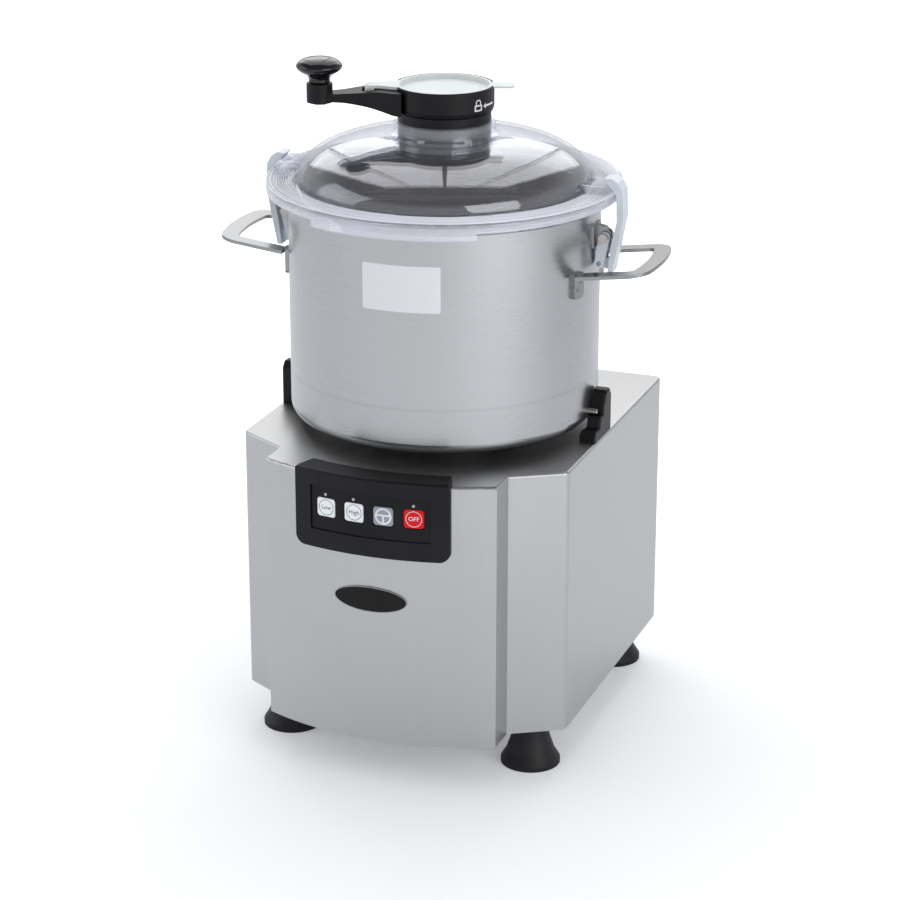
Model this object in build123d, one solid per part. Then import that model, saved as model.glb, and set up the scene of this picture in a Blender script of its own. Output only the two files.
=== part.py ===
from build123d import *
import math
import os

os.makedirs("parts", exist_ok=True)

# A bench-top bowl cutter. Millimetres, +Z up, the front at -Y, the operator's right hand at +X.
# The origin is on the drive axis, on the surface that the feet stand on.

# ---- driving sizes: base ----
foot_height = 42.0
foot_radius = 27.0
foot_neck_radius = 15.0
foot_side_inset = 36.9
foot_front_inset = 12.9
foot_rear_inset = 24.0
body_height = 246.0
side_margin = 14.4
rear_margin = 39.0
front_margin = 20.35
shoulder_setback = 36.1
step_setback = 9.1
step_inset = 46.0
bow_radius = 254.4046
sheet = 1.5
corner_radius = 8.0
edge_radius = 2.5
base_plate_thickness = 2.0
louvre_length = 60.0
louvre_height = 4.0
louvre_pitch = 11.0
louvre_count = 5
louvre_x = 60.0
louvre_rise = 108.0
vent_length = 50.0
vent_width = 5.0
vent_x = 45.0
vent_pitch = 14.0
vent_start_y = -20.0
vent_count = 5
plate_screw_side_inset = 8.4
plate_screw_rear_inset = 7.0
plate_screw_front_inset = 0.35
plate_screw_side_y = 60.0
plate_screw_rear_x = 70.0
plate_screw_front_x = 60.0
plate_screw_radius = 2.0
foot_stud_radius = 4.0
gland_side_inset = 49.4
gland_rise = 36.0
gland_radius = 9.8
gland_bore = 4.0
gland_hexagon = 13.5
gland_nose = 9.6
relay_side_inset = 14.4
relay_rear_inset = 109.0
capacitor_side_inset = 36.4
capacitor_rear_inset = 84.0

# ---- driving sizes: control panel ----
bezel_half_width = 72.0
bezel_drop = 68.5
bezel_proud = 4.0
bezel_lip_depth = 22.0
bezel_lip_rise = 3.0
bezel_side_land = 6.0166
panel_side_margin = 16.0
panel_low_drop = 51.5
panel_high_drop = 11.0
panel_thickness = 1.2
panel_recess = 2.5
key_width = 18.5
key_height = 17.5
key_pitch = 27.0
key_drop = 30.2
key_gap = 0.3
key_proud = 2.0
key_depth = 4.0
key_travel = 0.6
led_radius = 1.3
led_drop = 17.8
led_length = 1.6
board_setback = 14.0
board_side_inset = 4.0
board_thickness = 1.6
board_post_radius = 3.0
board_post_inset = 6.0

# ---- driving sizes: bowl ----
bowl_radius = 140.0
bowl_wall = 1.8
bowl_height = 208.0
bowl_gap = 9.4
weld_rise = 42.6
bowl_corner = 11.0
rim_width = 12.4
rim_bead_radius = 2.6
tube_radius = 23.6
tube_wall = 1.6
tube_height = 58.6
bowl_turn = 2.6
lock_pin_radius = 3.0
lock_pin_rise = 13.6
lock_pin_y = -6.0
lock_pin_length = 9.0

# ---- driving sizes: lock blocks ----
lock_block_root = 4.0
lock_step_height = 10.0
lock_post_height = 14.0
lock_screw_offset = 7.0
lock_screw_y = (-20.0, 12.0)
lock_screw_radius = 1.45
plunger_radius = 2.2

# ---- driving sizes: handles ----
handle_length = 63.6
handle_band = 15.0
handle_half_width = 53.0
handle_corner = 20.0
handle_sheet = 3.2
handle_drop = 58.4
handle_tilt = 7.3
tab_width = 15.0
tab_drop = 23.0
tab_angle = 16.8

# ---- driving sizes: lid ----
lid_overhang = 6.6
lid_flange_thickness = 5.0
lid_wall = 3.0
lid_lip_wall = 2.6
lid_lip_drop = 3.9
lid_skirt_drop = 9.4
seal_thickness = 2.0
dome_inset = 7.0
dome_height = 39.0
collar_flare = 6.5
collar_height = 14.0
neck_radius = 41.5
neck_clearance = 0.08
front_lip_drop = 10.4
front_lip_half_angle = 28.0
ear_inner_y = 12.0
ear_outer_y = 18.0
ear_height = 7.0
collar_wall = 3.9

# ---- driving sizes: latches ----
latch_half_width = 9.0
lever_bolt_offset = 9.5
lever_bolt_drop = 34.4
lever_pin_offset = 5.5
lever_pin_drop = 58.2
lever_pin_radius = 2.0
latch_bolt_radius = 2.5
hook_angle = 52.0
hook_gap = 0.3
hook_offset = 1.3
hook_low_rise = 2.6
hook_rise = 14.4
lever_eye_radius = 4.2
lever_back_shape = [(10.5, 78.0), (16.5, 74.3), (20.5, 67.3), (21.5, 42.8), (16.3, 14.8), (12.0, -7.7)]
lever_face_shape = [(7.9, -7.7), (10.5, 15.3), (15.4, 38.8)]
link_plate_inner = 4.2
link_plate_outer = 7.0

# ---- driving sizes: crank ----
hub_overhang = 2.7
hub_height = 23.5
hub_gap = 8.1
neck_wall = 7.5
crank_angle = 201.0
crank_length = 110.0
knob_radius = 20.5
knob_pin_radius = 4.0
cap_inset = 1.9
cap_wall = 2.4
cap_hinge_offset = 21.8
cap_hinge_pin_radius = 1.5
knob_boss_radius = 11.6
scraper_inset = 9.0
scraper_depth = 75.4
scraper_drop = 30.0
scraper_half_width = 2.5

# ---- driving sizes: drive ----
shaft_radius = 10.0
key_shaft_radius = 8.5
key_flat = 6.5
key_clearance = 0.08
shaft_shoulder_rise = 2.0
shaft_tip_length = 38.0
shaft_bottom_rise = 18.0
boss_neck_radius = 36.0
boss_seat_radius = 62.0
boss_screw_ring = 50.0
boss_clearance = 1.0
boss_top_drop = 6.0
boss_wall = 3.5
bearing_width = 12.0
seal_depth = 9.0
motor_radius = 68.0
motor_bottom_rise = 50.0
motor_top_drop = 56.0
bell_height = 18.0
core_margin = 16.0
rotor_radius = 36.0
motor_bolt_offset = 12.0
motor_bolt_radius = 2.5
fan_inset = 13.0
blade_tip_gap = 9.0
blade_thickness = 2.5
blade_gap = 1.4
blade_spacing = 32.0
blade_ring_width = 8.0
hub_sleeve_wall = 6.4

# ---- worked out from the driving sizes ----
body_bottom_z = foot_height
body_top_z = foot_height + body_height
base_half_width = bowl_radius + side_margin
base_rear_y = bowl_radius + rear_margin
shoulder_y = shoulder_setback - bowl_radius
step_root_y = step_setback - bowl_radius
step_front_y = -bowl_radius - front_margin
step_half_width = base_half_width - step_inset
foot_x = base_half_width - foot_side_inset
foot_front_y = shoulder_y + foot_front_inset
foot_rear_y = base_rear_y - foot_rear_inset
gland_x = gland_side_inset - base_half_width
gland_z = body_bottom_z + gland_rise
louvre_low_z = body_bottom_z + louvre_rise
bezel_bottom_z = body_top_z - bezel_drop
panel_half_width = bezel_half_width - panel_side_margin
panel_low_z = body_top_z - panel_low_drop
panel_high_z = body_top_z - panel_high_drop
key_z = body_top_z - key_drop
led_z = body_top_z - led_drop
board_half_width = panel_half_width - board_side_inset
board_post_x = board_half_width - board_post_inset
bowl_bottom_z = body_top_z + bowl_gap
bowl_rim_z = bowl_bottom_z + bowl_height
weld_z = bowl_bottom_z + weld_rise
rim_radius = bowl_radius + rim_width
lock_pin_z = bowl_bottom_z + lock_pin_rise
lock_pin_reach = bowl_radius + lock_pin_length
lock_block_inner_x = bowl_radius - lock_block_root
lock_screw_x = bowl_radius + lock_screw_offset
plunger_x = lock_screw_x
handle_reach = bowl_radius + handle_length
handle_root_z = bowl_rim_z - handle_drop
lid_radius = rim_radius + lid_overhang
dome_radius = bowl_radius - dome_inset
collar_radius = neck_radius + collar_flare
collar_wall_radius = neck_radius + collar_wall
hub_radius = neck_radius + hub_overhang
throat_radius = neck_radius - neck_wall
cap_radius = hub_radius - cap_inset
cap_hinge_reach = hub_radius + cap_hinge_offset
scraper_reach = bowl_radius - scraper_inset
scraper_low_z = bowl_rim_z - scraper_depth
shaft_bottom_z = body_bottom_z + shaft_bottom_rise
boss_radius = tube_radius - tube_wall - boss_clearance
bearing_outer = boss_radius - boss_wall
motor_bottom_z = body_bottom_z + motor_bottom_rise
motor_top_z = body_top_z - motor_top_drop
motor_bolt_ring = motor_radius + motor_bolt_offset
fan_radius = motor_radius - fan_inset
blade_tip_radius = bowl_radius - blade_tip_gap
hub_sleeve_radius = tube_radius + hub_sleeve_wall
blade_ring_radius = hub_sleeve_radius + blade_ring_width
lever_bolt_x = bowl_radius + lever_bolt_offset
lever_bolt_z = bowl_rim_z - lever_bolt_drop
lever_pin_x = bowl_radius + lever_pin_offset
lever_pin_z = bowl_rim_z - lever_pin_drop
lever_back = [(lever_pin_x + x, lever_pin_z + z) for x, z in lever_back_shape]
lever_face = [(lever_pin_x + x, lever_pin_z + z) for x, z in lever_face_shape]
front_bow = bow_radius - math.sqrt(bow_radius ** 2 - step_half_width ** 2)
front_y = step_front_y - front_bow
bow_centre_y = front_y + bow_radius
flange_z = bowl_rim_z + seal_thickness
flange_top_z = flange_z + lid_flange_thickness
dome_top_z = flange_top_z + dome_height
hook_low_x = lid_radius + hook_offset
hook_low_z = flange_z + hook_low_rise
hub_bottom_z = dome_top_z + collar_height + hub_gap
hub_top_z = hub_bottom_z + hub_height
bowl_floor_z = bowl_bottom_z + bowl_wall
tube_top_z = bowl_bottom_z + tube_height
boss_top_z = tube_top_z - boss_top_drop
small_gap = 0.1
scraper_top_z = hub_bottom_z - scraper_drop
hinge_z = hub_top_z - 4.2
board_y = front_y + board_setback
key_x = [key_pitch * (i - 1.5) for i in range(4)]
led_x = [key_x[0], key_x[1], key_x[3]]
foot_spots = [(x, y) for y in (foot_front_y, foot_rear_y) for x in (-foot_x, foot_x)]
plate_side_x = base_half_width - plate_screw_side_inset
plate_screw_rows = [(plate_side_x, -plate_screw_side_y), (plate_side_x, plate_screw_side_y),
                    (plate_screw_rear_x, base_rear_y - plate_screw_rear_inset),
                    (plate_screw_front_x, step_front_y + plate_screw_front_inset)]
plate_screw_spots = [(side * x, y) for x, y in plate_screw_rows for side in (-1, 1)]
plate_low_z = body_bottom_z + small_gap
plate_top_z = plate_low_z + base_plate_thickness
pin_seat_z = lock_pin_z - lock_pin_radius - small_gap
bowl_seat_z = bowl_bottom_z - small_gap
seal_low_z = boss_top_z - seal_depth
core_low_z = motor_bottom_z + bell_height + core_margin
core_high_z = motor_top_z - bell_height - core_margin
shaft_shoulder_z = tube_top_z + shaft_shoulder_rise
shaft_top_z = shaft_shoulder_z + shaft_tip_length
blade_seat_z = bowl_floor_z + blade_gap + 2.4
hub_cap_z = shaft_shoulder_z + small_gap
blade_hub_top_z = shaft_top_z + 3.0
upper_blade_z = blade_seat_z + blade_spacing

made = {}


def node(name, shape):
    """Keep one sub-part under the name that its STEP file gets."""
    made[name] = shape


def ring(outer, inner, low, high):
    """A plain ring or washer about the drive axis."""
    body = Pos(0, 0, low) * extrude(Circle(outer) - Circle(inner), high - low)
    return body


def rod(radius, low, high, x=0.0, y=0.0):
    """A vertical cylinder."""
    return Pos(x, y, low) * extrude(Circle(radius), high - low)


def block(x0, x1, y0, y1, z0, z1):
    """A box between two corners."""
    return Pos((x0 + x1) / 2, (y0 + y1) / 2, (z0 + z1) / 2) * Box(x1 - x0, y1 - y0, z1 - z0)


def turned(points):
    """A solid of revolution from (radius, height) points joined by straight lines."""
    face = make_face(Plane.XZ * Polyline(*points, close=True))
    return revolve(face, Axis.Z, 360)


def slab_xz(points, half_width):
    """A plate cut from an outline in (x, z), centred on y = 0."""
    face = make_face(Plane.XZ * Polyline(*points, close=True))
    return extrude(face, half_width, both=True)


def rod_y(radius, x, z, y0, y1):
    """A cylinder along Y."""
    face = Plane.XZ * Pos(x, z) * Circle(radius)
    return Pos(0, y1, 0) * extrude(face, y1 - y0)


def turned_bowl(shape, half_turns=0):
    """Turn a piece with the bowl; one half turn gives the piece of the other side."""
    return Rot(0, 0, bowl_turn + 180 * half_turns) * shape


def around(shape, count, start=0.0):
    """Copies of one piece, evenly spaced about the drive axis."""
    return [Rot(0, 0, start + 360 * i / count) * shape for i in range(count)]


# ---- housing ----
def housing_outline(inset=0.0):
    """The plan of the housing: flat sides, slanted shoulders, a step and a bowed front."""
    bow = ThreePointArc(
        (-step_half_width, step_front_y), (0, front_y), (step_half_width, step_front_y)
    )
    rest = Polyline(
        (step_half_width, step_front_y),
        (step_half_width, step_root_y),
        (base_half_width, shoulder_y),
        (base_half_width, base_rear_y),
        (-base_half_width, base_rear_y),
        (-base_half_width, shoulder_y),
        (-step_half_width, step_root_y),
        (-step_half_width, step_front_y),
    )
    face = make_face(bow + rest)
    if inset:
        face = offset(face, -inset, kind=Kind.INTERSECTION)
    return face


def bowed(radius_from_front, half_width, low, high, thickness):
    """A plate that follows the bowed front, from one distance proud of it to another."""
    outer = bow_radius + radius_from_front
    band = Circle(outer) - Circle(outer - thickness)
    band = Pos(0, bow_centre_y) * band
    window = Pos(0, front_y) * Rectangle(2 * half_width, 2 * bezel_lip_depth)
    return Pos(0, 0, low) * extrude(band & window, high - low)


def key_plane(x, distance=0.0):
    """A plane square to the bowed front at x, some distance proud of it."""
    angle = math.asin(x / bow_radius)
    reach = bow_radius + distance
    spot = (reach * math.sin(angle), bow_centre_y - reach * math.cos(angle), 0)
    return Plane(origin=spot, x_dir=(math.cos(angle), math.sin(angle), 0),
                 z_dir=(math.sin(angle), -math.cos(angle), 0))


def key_block(x, grow, front, depth):
    """A rounded square prism behind one key's face."""
    face = RectangleRounded(key_width + 2 * grow, key_height + 2 * grow, 3.0)
    return extrude(key_plane(x, front) * Pos(0, key_z) * face, -depth)


def housing_block(inset, low, height):
    """The housing's plan as a solid, with the four corners of its flat sides rounded."""
    body = Pos(0, 0, low) * extrude(housing_outline(inset), height)
    side = base_half_width - inset
    corners = body.edges().filter_by(Axis.Z).filter_by(lambda e: abs(abs(e.center().X) - side) < 0.1)
    return fillet(corners, corner_radius - inset)


def housing():
    """The folded and welded steel housing, open underneath."""
    outer = housing_block(0.0, body_bottom_z, body_height)
    outer = fillet(outer.faces().sort_by(Axis.Z)[-1].outer_wire().edges(), edge_radius)
    shell = outer - housing_block(sheet, body_bottom_z - 1, body_height + 1 - sheet)
    shell -= rod(boss_neck_radius + 0.5, body_top_z - 5, body_top_z + 5)
    shell -= around(rod(2.7, body_top_z - 5, body_top_z + 5, boss_screw_ring), 6)
    shell -= bowed(1.0, panel_half_width - 2, panel_low_z + 2, panel_high_z - 2, 9.0)
    for side in (0, 1):
        for y in lock_screw_y:
            hole = rod(lock_screw_radius + 0.25, body_top_z - 5, body_top_z + 5, lock_screw_x, y)
            shell -= Rot(0, 0, 180 * side) * hole
    slot = Plane.XZ * SlotOverall(louvre_length, louvre_height)
    slot = Pos(0, base_rear_y + 5, 0) * extrude(slot, 12)
    for i in range(louvre_count):
        for x in (-louvre_x, louvre_x):
            shell -= Pos(x, 0, louvre_low_z + i * louvre_pitch) * slot
    shell -= Pos(gland_x, 0, gland_z) * rod_y(gland_radius + 0.2, 0, 0, base_rear_y - 6, base_rear_y + 6)
    return shell


def base_plate():
    """The sheet that closes the housing underneath, with its air slots."""
    low = plate_low_z
    plate = housing_block(sheet + 0.2, low, base_plate_thickness)
    vent = Pos(0, 0, low - 1) * extrude(SlotOverall(vent_length, vent_width), base_plate_thickness + 2)
    for i in range(vent_count):
        for x in (-vent_x, vent_x):
            plate -= Pos(x, vent_start_y + vent_pitch * i, 0) * vent
    for x, y in plate_screw_spots:
        plate -= rod(plate_screw_radius + 0.2, low - 1, low + 4, x, y)
    for x, y in foot_spots:
        plate -= rod(foot_stud_radius + 0.2, low - 1, low + 4, x, y)
    return plate


def plate_screws():
    """Cross-recessed self-tapping screws, driven up from underneath."""
    r = plate_screw_radius
    screw = turned([(0, -2), (3.6, -2), (4, -0.6), (4, 0), (r, 0), (r, 7), (1.2, 8.5), (0, 8.5)])
    screw -= Pos(0, 0, -2) * (Box(4.2, 0.9, 1.6) + Box(0.9, 4.2, 1.6))
    return [Pos(x, y, plate_low_z) * screw for x, y in plate_screw_spots]


def foot():
    """A rubber foot, wide at the floor, waisted and open underneath round its stud."""
    profile = [
        (5.2, foot_height), (foot_neck_radius, foot_height), (foot_neck_radius, foot_height - 6),
        (17.5, foot_height - 16), (22.0, 12.0), (foot_radius, 4.0), (foot_radius, 0.0),
        (20.0, 0.0), (18.0, 5.0), (11.0, 8.0), (11.0, 26.0), (5.2, 26.0),
    ]
    return turned(profile)


def foot_stud():
    """The bolt that holds a foot, with its nut on the base plate."""
    head_z = 20.0
    head_height = 5.9
    head = Pos(0, 0, head_z) * extrude(RegularPolygon(8.0, 6), head_height)
    stem = rod(foot_stud_radius, head_z + head_height, plate_top_z + 14)
    nut = Pos(0, 0, plate_top_z) * extrude(RegularPolygon(7.0, 6) - Circle(foot_stud_radius), 6.0)
    return head + stem + nut


# ---- control panel ----
def bezel():
    """The moulded frame of the control panel, hooked over the housing's top edge."""
    top = body_top_z + bezel_lip_rise
    front = bowed(bezel_proud, bezel_half_width, bezel_bottom_z, top, bezel_proud - 0.1)
    bottom_corners = front.edges().filter_by(
        lambda e: e.center().Z < bezel_bottom_z + 1 and abs(abs(e.center().X) - bezel_half_width) < 1)
    front = fillet(bottom_corners, 9.0)
    lip_band = Pos(0, bow_centre_y) * (Circle(bow_radius + bezel_proud)
                                       - Circle(bow_radius - bezel_lip_depth))
    side_reach = math.sqrt((bow_radius + bezel_proud) ** 2 - bezel_half_width ** 2)
    corner_y = bow_centre_y - side_reach + bezel_side_land
    lip_window = make_face(Polyline(
        (-bezel_half_width, front_y - 10), (bezel_half_width, front_y - 10),
        (bezel_half_width, corner_y), (bezel_half_width - 9, corner_y + 24),
        (-bezel_half_width + 9, corner_y + 24), (-bezel_half_width, corner_y), close=True))
    lip = Pos(0, 0, body_top_z + 0.1) * extrude(lip_band & lip_window, bezel_lip_rise - 0.1, dir=(0, 0, 1))
    shape = front + lip
    shape = shape.clean()
    rim = shape.faces().sort_by(Axis.Z)[-1].outer_wire().edges()
    shape = fillet(rim, 2.0)
    shape -= bowed(bezel_proud + 1, panel_half_width, panel_low_z, panel_high_z, panel_recess + 1)
    for x in key_x:
        shape -= key_block(x, key_gap, bezel_proud + 2, bezel_proud + 8)
    return shape


def panel():
    """The thin key panel that lies in the bezel's recess."""
    face = bezel_proud - panel_recess + panel_thickness
    plate = bowed(face, panel_half_width - 0.2, panel_low_z + 0.2, panel_high_z - 0.2, panel_thickness)
    for x in key_x:
        plate -= key_block(x, key_gap, bezel_proud + 2, bezel_proud + 8)
    for x in led_x:
        plate -= led(x, led_radius + 0.05, 3.0)
    return plate


def led(x, radius, depth):
    """A round indicator light above a key."""
    front = bezel_proud - panel_recess + panel_thickness + 0.4
    return extrude(key_plane(x, front) * Pos(0, led_z) * Circle(radius), -depth)


def key(x):
    """A key cap that slides square to the bowed front."""
    shape = key_block(x, 0.0, key_proud, key_depth)
    face = shape.faces().sort_by(Axis.Y)[0]
    return fillet(face.outer_wire().edges(), 0.6)


def control_board():
    """The circuit board behind the keys, on four posts."""
    back_y = board_y + board_thickness
    shape = block(-board_half_width, board_half_width, board_y, back_y, panel_low_z - 6, panel_high_z + 4)
    shape += block(-8, 8, back_y, back_y + 2.4, panel_low_z, panel_low_z + 16)
    for x in (-board_post_x, board_post_x):
        for z in (panel_low_z - 1, panel_high_z - 1):
            start = front_inner_y(board_post_x + board_post_radius) + small_gap
            shape += rod_y(board_post_radius, x, z, start, board_y)
    return shape


def front_inner_y(x):
    """The inner face of the bowed front at x."""
    inner = bow_radius - sheet
    return bow_centre_y - math.sqrt(inner ** 2 - x ** 2)


def key_switches():
    """A push switch on the board behind each key."""
    switches = []
    for x in key_x:
        back = bow_radius + key_proud - key_depth
        angle = math.asin(x / bow_radius)
        nub_y = bow_centre_y - back * math.cos(angle) + key_travel + 0.6
        spot = back * math.sin(angle)
        body = block(spot - 3, spot + 3, nub_y + 2.5, board_y, key_z - 3, key_z + 3)
        nub = rod_y(1.6, spot, key_z, nub_y, nub_y + 3)
        switches.append(body + nub)
    return switches


# ---- lock blocks for the bowl's pins ----
def lock_block():
    """An open seat for the bowl's pin, with a low step in front and a tall post behind."""
    rear = lock_pin_y + lock_pin_radius + small_gap
    step_z = body_top_z + lock_step_height
    post_z = lock_pin_z + lock_post_height
    outline = [
        (-27, body_top_z), (-27, step_z - 3), (-24, step_z), (-13, step_z),
        (-11, pin_seat_z - 3), (-11, pin_seat_z), (rear, pin_seat_z), (rear, lock_pin_z + 3),
        (3, post_z), (7, post_z + 3), (15, post_z + 3), (20, post_z - 3), (20, body_top_z),
    ]
    face = make_face(Plane.YZ * Polyline(*outline, close=True))
    width = base_half_width - 1 - lock_block_inner_x
    shape = Pos(lock_block_inner_x, 0, 0) * extrude(face, width, dir=(1, 0, 0))
    shape -= rod(bowl_radius + 1.2, body_top_z - 1, post_z + 10)
    outer = shape.edges().filter_by(
        lambda e: e.center().X > base_half_width - 1.1 and e.center().Z > body_top_z + 1)
    shape = fillet(outer, 2.0)
    shape -= rod(plunger_radius, body_top_z + 8, pin_seat_z + 1, plunger_x, lock_pin_y)
    for y in lock_screw_y:
        shape -= rod(lock_screw_radius + 0.05, body_top_z - 1, body_top_z + 9, lock_screw_x, y)
    return shape


def plunger():
    """A ball plunger that stands in the lock block under the pin."""
    body = rod(plunger_radius - 0.02, body_top_z + 8, pin_seat_z - 0.3, plunger_x, lock_pin_y)
    ball = Pos(plunger_x, lock_pin_y, pin_seat_z - 1.5) * Sphere(1.5)
    return body + ball


def lock_screws():
    """Screws driven up through the housing's top into the lock blocks."""
    screws = []
    low = body_top_z - sheet
    for side in (0, 1):
        for y in lock_screw_y:
            screw = rod(lock_screw_radius, low, body_top_z + 8.5, lock_screw_x, y)
            screw += rod(3.0, low - 2, low, lock_screw_x, y)
            screws.append(Rot(0, 0, 180 * side) * screw)
    return screws


# ---- drive ----
def drive_boss():
    """The bearing housing: a seat for the bowl above the top plate and a neck below it."""
    seat_z = bowl_seat_z
    shape = turned([
        (shaft_radius + 1, motor_top_z), (boss_neck_radius, motor_top_z), (boss_neck_radius, body_top_z),
        (boss_seat_radius, body_top_z), (boss_seat_radius, seat_z - 1.5), (boss_seat_radius - 1.5, seat_z),
        (boss_radius, seat_z), (boss_radius, boss_top_z - 2), (boss_radius - 2, boss_top_z),
        (shaft_radius + 1, boss_top_z),
    ])
    shape -= rod(bearing_outer, seal_low_z - bearing_width, boss_top_z + 1)
    shape -= rod(bearing_outer, motor_top_z - 1, motor_top_z + bearing_width)
    screw_hole = rod(2.6, body_top_z - 1, seat_z + 1, boss_screw_ring)
    screw_hole += rod(5.2, seat_z - 5.2, seat_z + 1, boss_screw_ring)
    shape -= around(screw_hole, 6)
    return shape


def boss_screws():
    """Socket screws that clamp the drive boss to the housing's top, with nuts inside."""
    head_z = bowl_seat_z - 5.2
    screw = rod(4.6, head_z, head_z + 4.6, boss_screw_ring) + rod(2.5, body_top_z - 14, head_z, boss_screw_ring)
    screw -= Pos(boss_screw_ring, 0, head_z + 2.6) * extrude(RegularPolygon(2.4, 6), 3)
    nut = Pos(boss_screw_ring, 0, body_top_z - sheet - 4.2) * extrude(RegularPolygon(4.6, 6) - Circle(2.5), 4.2)
    return around(screw + nut, 6)


def bearing(low):
    """A sealed ball bearing drawn as its inner race, shield and outer race."""
    high = low + bearing_width
    shape = ring(bearing_outer, shaft_radius, low, high)
    groove = ring(bearing_outer - 2.4, shaft_radius + 2.4, high - 0.5, high + 1)
    groove += ring(bearing_outer - 2.4, shaft_radius + 2.4, low - 1, low + 0.5)
    return shape - groove


def shaft_seal():
    """The lip seal over the upper bearing."""
    return ring(bearing_outer, shaft_radius + 0.05, seal_low_z + small_gap, boss_top_z)


def keyed(radius, flat):
    """A round section with two flats."""
    return Circle(radius) & Rectangle(4 * radius, 2 * flat)


def drive_shaft():
    """The motor shaft, with two flats on the tip that carries the blades."""
    shape = rod(shaft_radius - 0.02, shaft_bottom_z, shaft_shoulder_z)
    tip = Pos(0, 0, shaft_shoulder_z) * extrude(keyed(key_shaft_radius, key_flat), shaft_top_z - shaft_shoulder_z)
    shape += tip
    return chamfer(shape.faces().sort_by(Axis.Z)[-1].edges(), 1.2)


def rotor_core():
    """The squirrel cage: a stack with two end rings."""
    low = core_low_z
    high = core_high_z
    shape = ring(rotor_radius, shaft_radius - 0.02, low, high)
    shape += ring(rotor_radius - 2, rotor_radius - 12, low - 6, low)
    shape += ring(rotor_radius - 2, rotor_radius - 12, high, high + 6)
    return shape


def fan():
    """The cooling fan under the motor."""
    hub = ring(shaft_radius + 4, shaft_radius - 0.02, shaft_bottom_z + 4, motor_bottom_z - 8)
    disc = ring(fan_radius - 6, shaft_radius + 3, motor_bottom_z - 12, motor_bottom_z - 10)
    vane = block(shaft_radius + 3, fan_radius, -0.9, 0.9, motor_bottom_z - 26, motor_bottom_z - 11)
    return hub + disc + around(vane, 8)


def motor_frame():
    """The finned tube that holds the stator."""
    low = motor_bottom_z + bell_height
    high = motor_top_z - bell_height
    shape = ring(motor_radius, motor_radius - 4, low, high)
    fin = block(motor_radius - 2, motor_radius + 6, -1.2, 1.2, low + 4, high - 4)
    return shape + around(fin, 16)


def stator():
    """The stator's plate stack."""
    return ring(motor_radius - 4.02, rotor_radius + 0.6, core_low_z, core_high_z)


def windings():
    """The winding heads on both ends of the stator."""
    outer = motor_radius - 10
    inner = rotor_radius + 4
    depth = 12
    return [ring(outer, inner, core_low_z - depth, core_low_z), ring(outer, inner, core_high_z, core_high_z + depth)]


def end_bell(low, flip):
    """A cast end cover; the lower one has a bearing seat, the upper one takes the drive boss."""
    if flip:
        shape = ring(motor_radius + 3, boss_neck_radius - 10, low, low + bell_height)
        shape -= ring(motor_radius - 5, boss_neck_radius + 2, low - 1, low + bell_height - 6)
        return shape
    shape = ring(motor_radius + 3, shaft_radius + 1, low, low + bell_height)
    shape -= rod(bearing_outer, low + bell_height - bearing_width, low + bell_height + 1)
    return shape


def motor_bolts():
    """Through bolts that clamp both end covers to the motor's frame."""
    bolt = rod(motor_bolt_radius, motor_bottom_z - 5, motor_top_z + 6)
    bolt += Pos(0, 0, motor_bottom_z - 5) * extrude(RegularPolygon(5, 6), 4.9)
    bolt += Pos(0, 0, motor_top_z + small_gap) * extrude(RegularPolygon(5, 6), 4.5)
    return around(Pos(motor_bolt_ring, 0, 0) * bolt, 4, 45)


def bell_ears(low):
    """Four ears on an end cover for the through bolts."""
    ear = block(motor_radius - 2, motor_bolt_ring + 7, -7, 7, low, low + bell_height)
    ear -= rod(motor_bolt_radius + 0.1, low - 1, low + bell_height + 1, motor_bolt_ring)
    return around(ear, 4, 45)


def fan_cover():
    """The slotted cover under the fan."""
    low = shaft_bottom_z - 4
    shape = ring(fan_radius + 9, fan_radius + 7, low, motor_bottom_z)
    shape += ring(fan_radius + 8, shaft_radius + 8, low, low + 2)
    shape -= around(block(shaft_radius + 14, fan_radius, -3, 3, low - 1, low + 3), 12)
    return shape


def capacitor():
    """The motor's run capacitor, a can with two terminals."""
    low = plate_top_z
    x = base_half_width - capacitor_side_inset
    y = base_rear_y - capacitor_rear_inset
    can = rod(20.0, low, low + 78, x, y)
    can += rod(4.0, low + 78, low + 86, x - 8, y) + rod(4.0, low + 78, low + 86, x + 8, y)
    return can


def relay():
    """The motor's relay and braking unit."""
    low = plate_top_z
    x = relay_side_inset - base_half_width
    y = base_rear_y - relay_rear_inset
    body = block(x, x + 45, y, y + 60, low, low + 52)
    body -= block(x + 4, x + 41, y - 8, y + 8, low + 38, low + 60)
    body -= block(x + 4, x + 41, y + 52, y + 68, low + 38, low + 60)
    return body


def cable_gland():
    """A threaded gland in the rear wall with a domed nut outside and a lock nut inside."""
    reach = base_rear_y + gland_nose
    shape = rod_y(gland_radius, 0, 0, base_rear_y - 14, base_rear_y)
    collar = Plane.XZ * RegularPolygon(gland_hexagon, 6)
    shape += Pos(0, base_rear_y + 4, 0) * extrude(collar, 4)
    shape += rod_y(11.0, 0, 0, base_rear_y + 4, reach)
    shape += Pos(0, base_rear_y - sheet, 0) * extrude(collar, 4)
    front = shape.faces().sort_by(Axis.Y)[-1]
    shape = fillet(front.outer_wire().edges(), 3.0)
    shape -= rod_y(gland_bore, 0, 0, base_rear_y - 20, reach + 5)
    return Pos(gland_x, 0, gland_z) * shape


# ---- bowl ----
def chained(lines):
    """A solid of revolution from lines and arcs that follow one another."""
    outline = lines[0]
    for line in lines[1:]:
        outline += line
    return revolve(make_face(Plane.XZ * outline), Axis.Z, 360)


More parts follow.
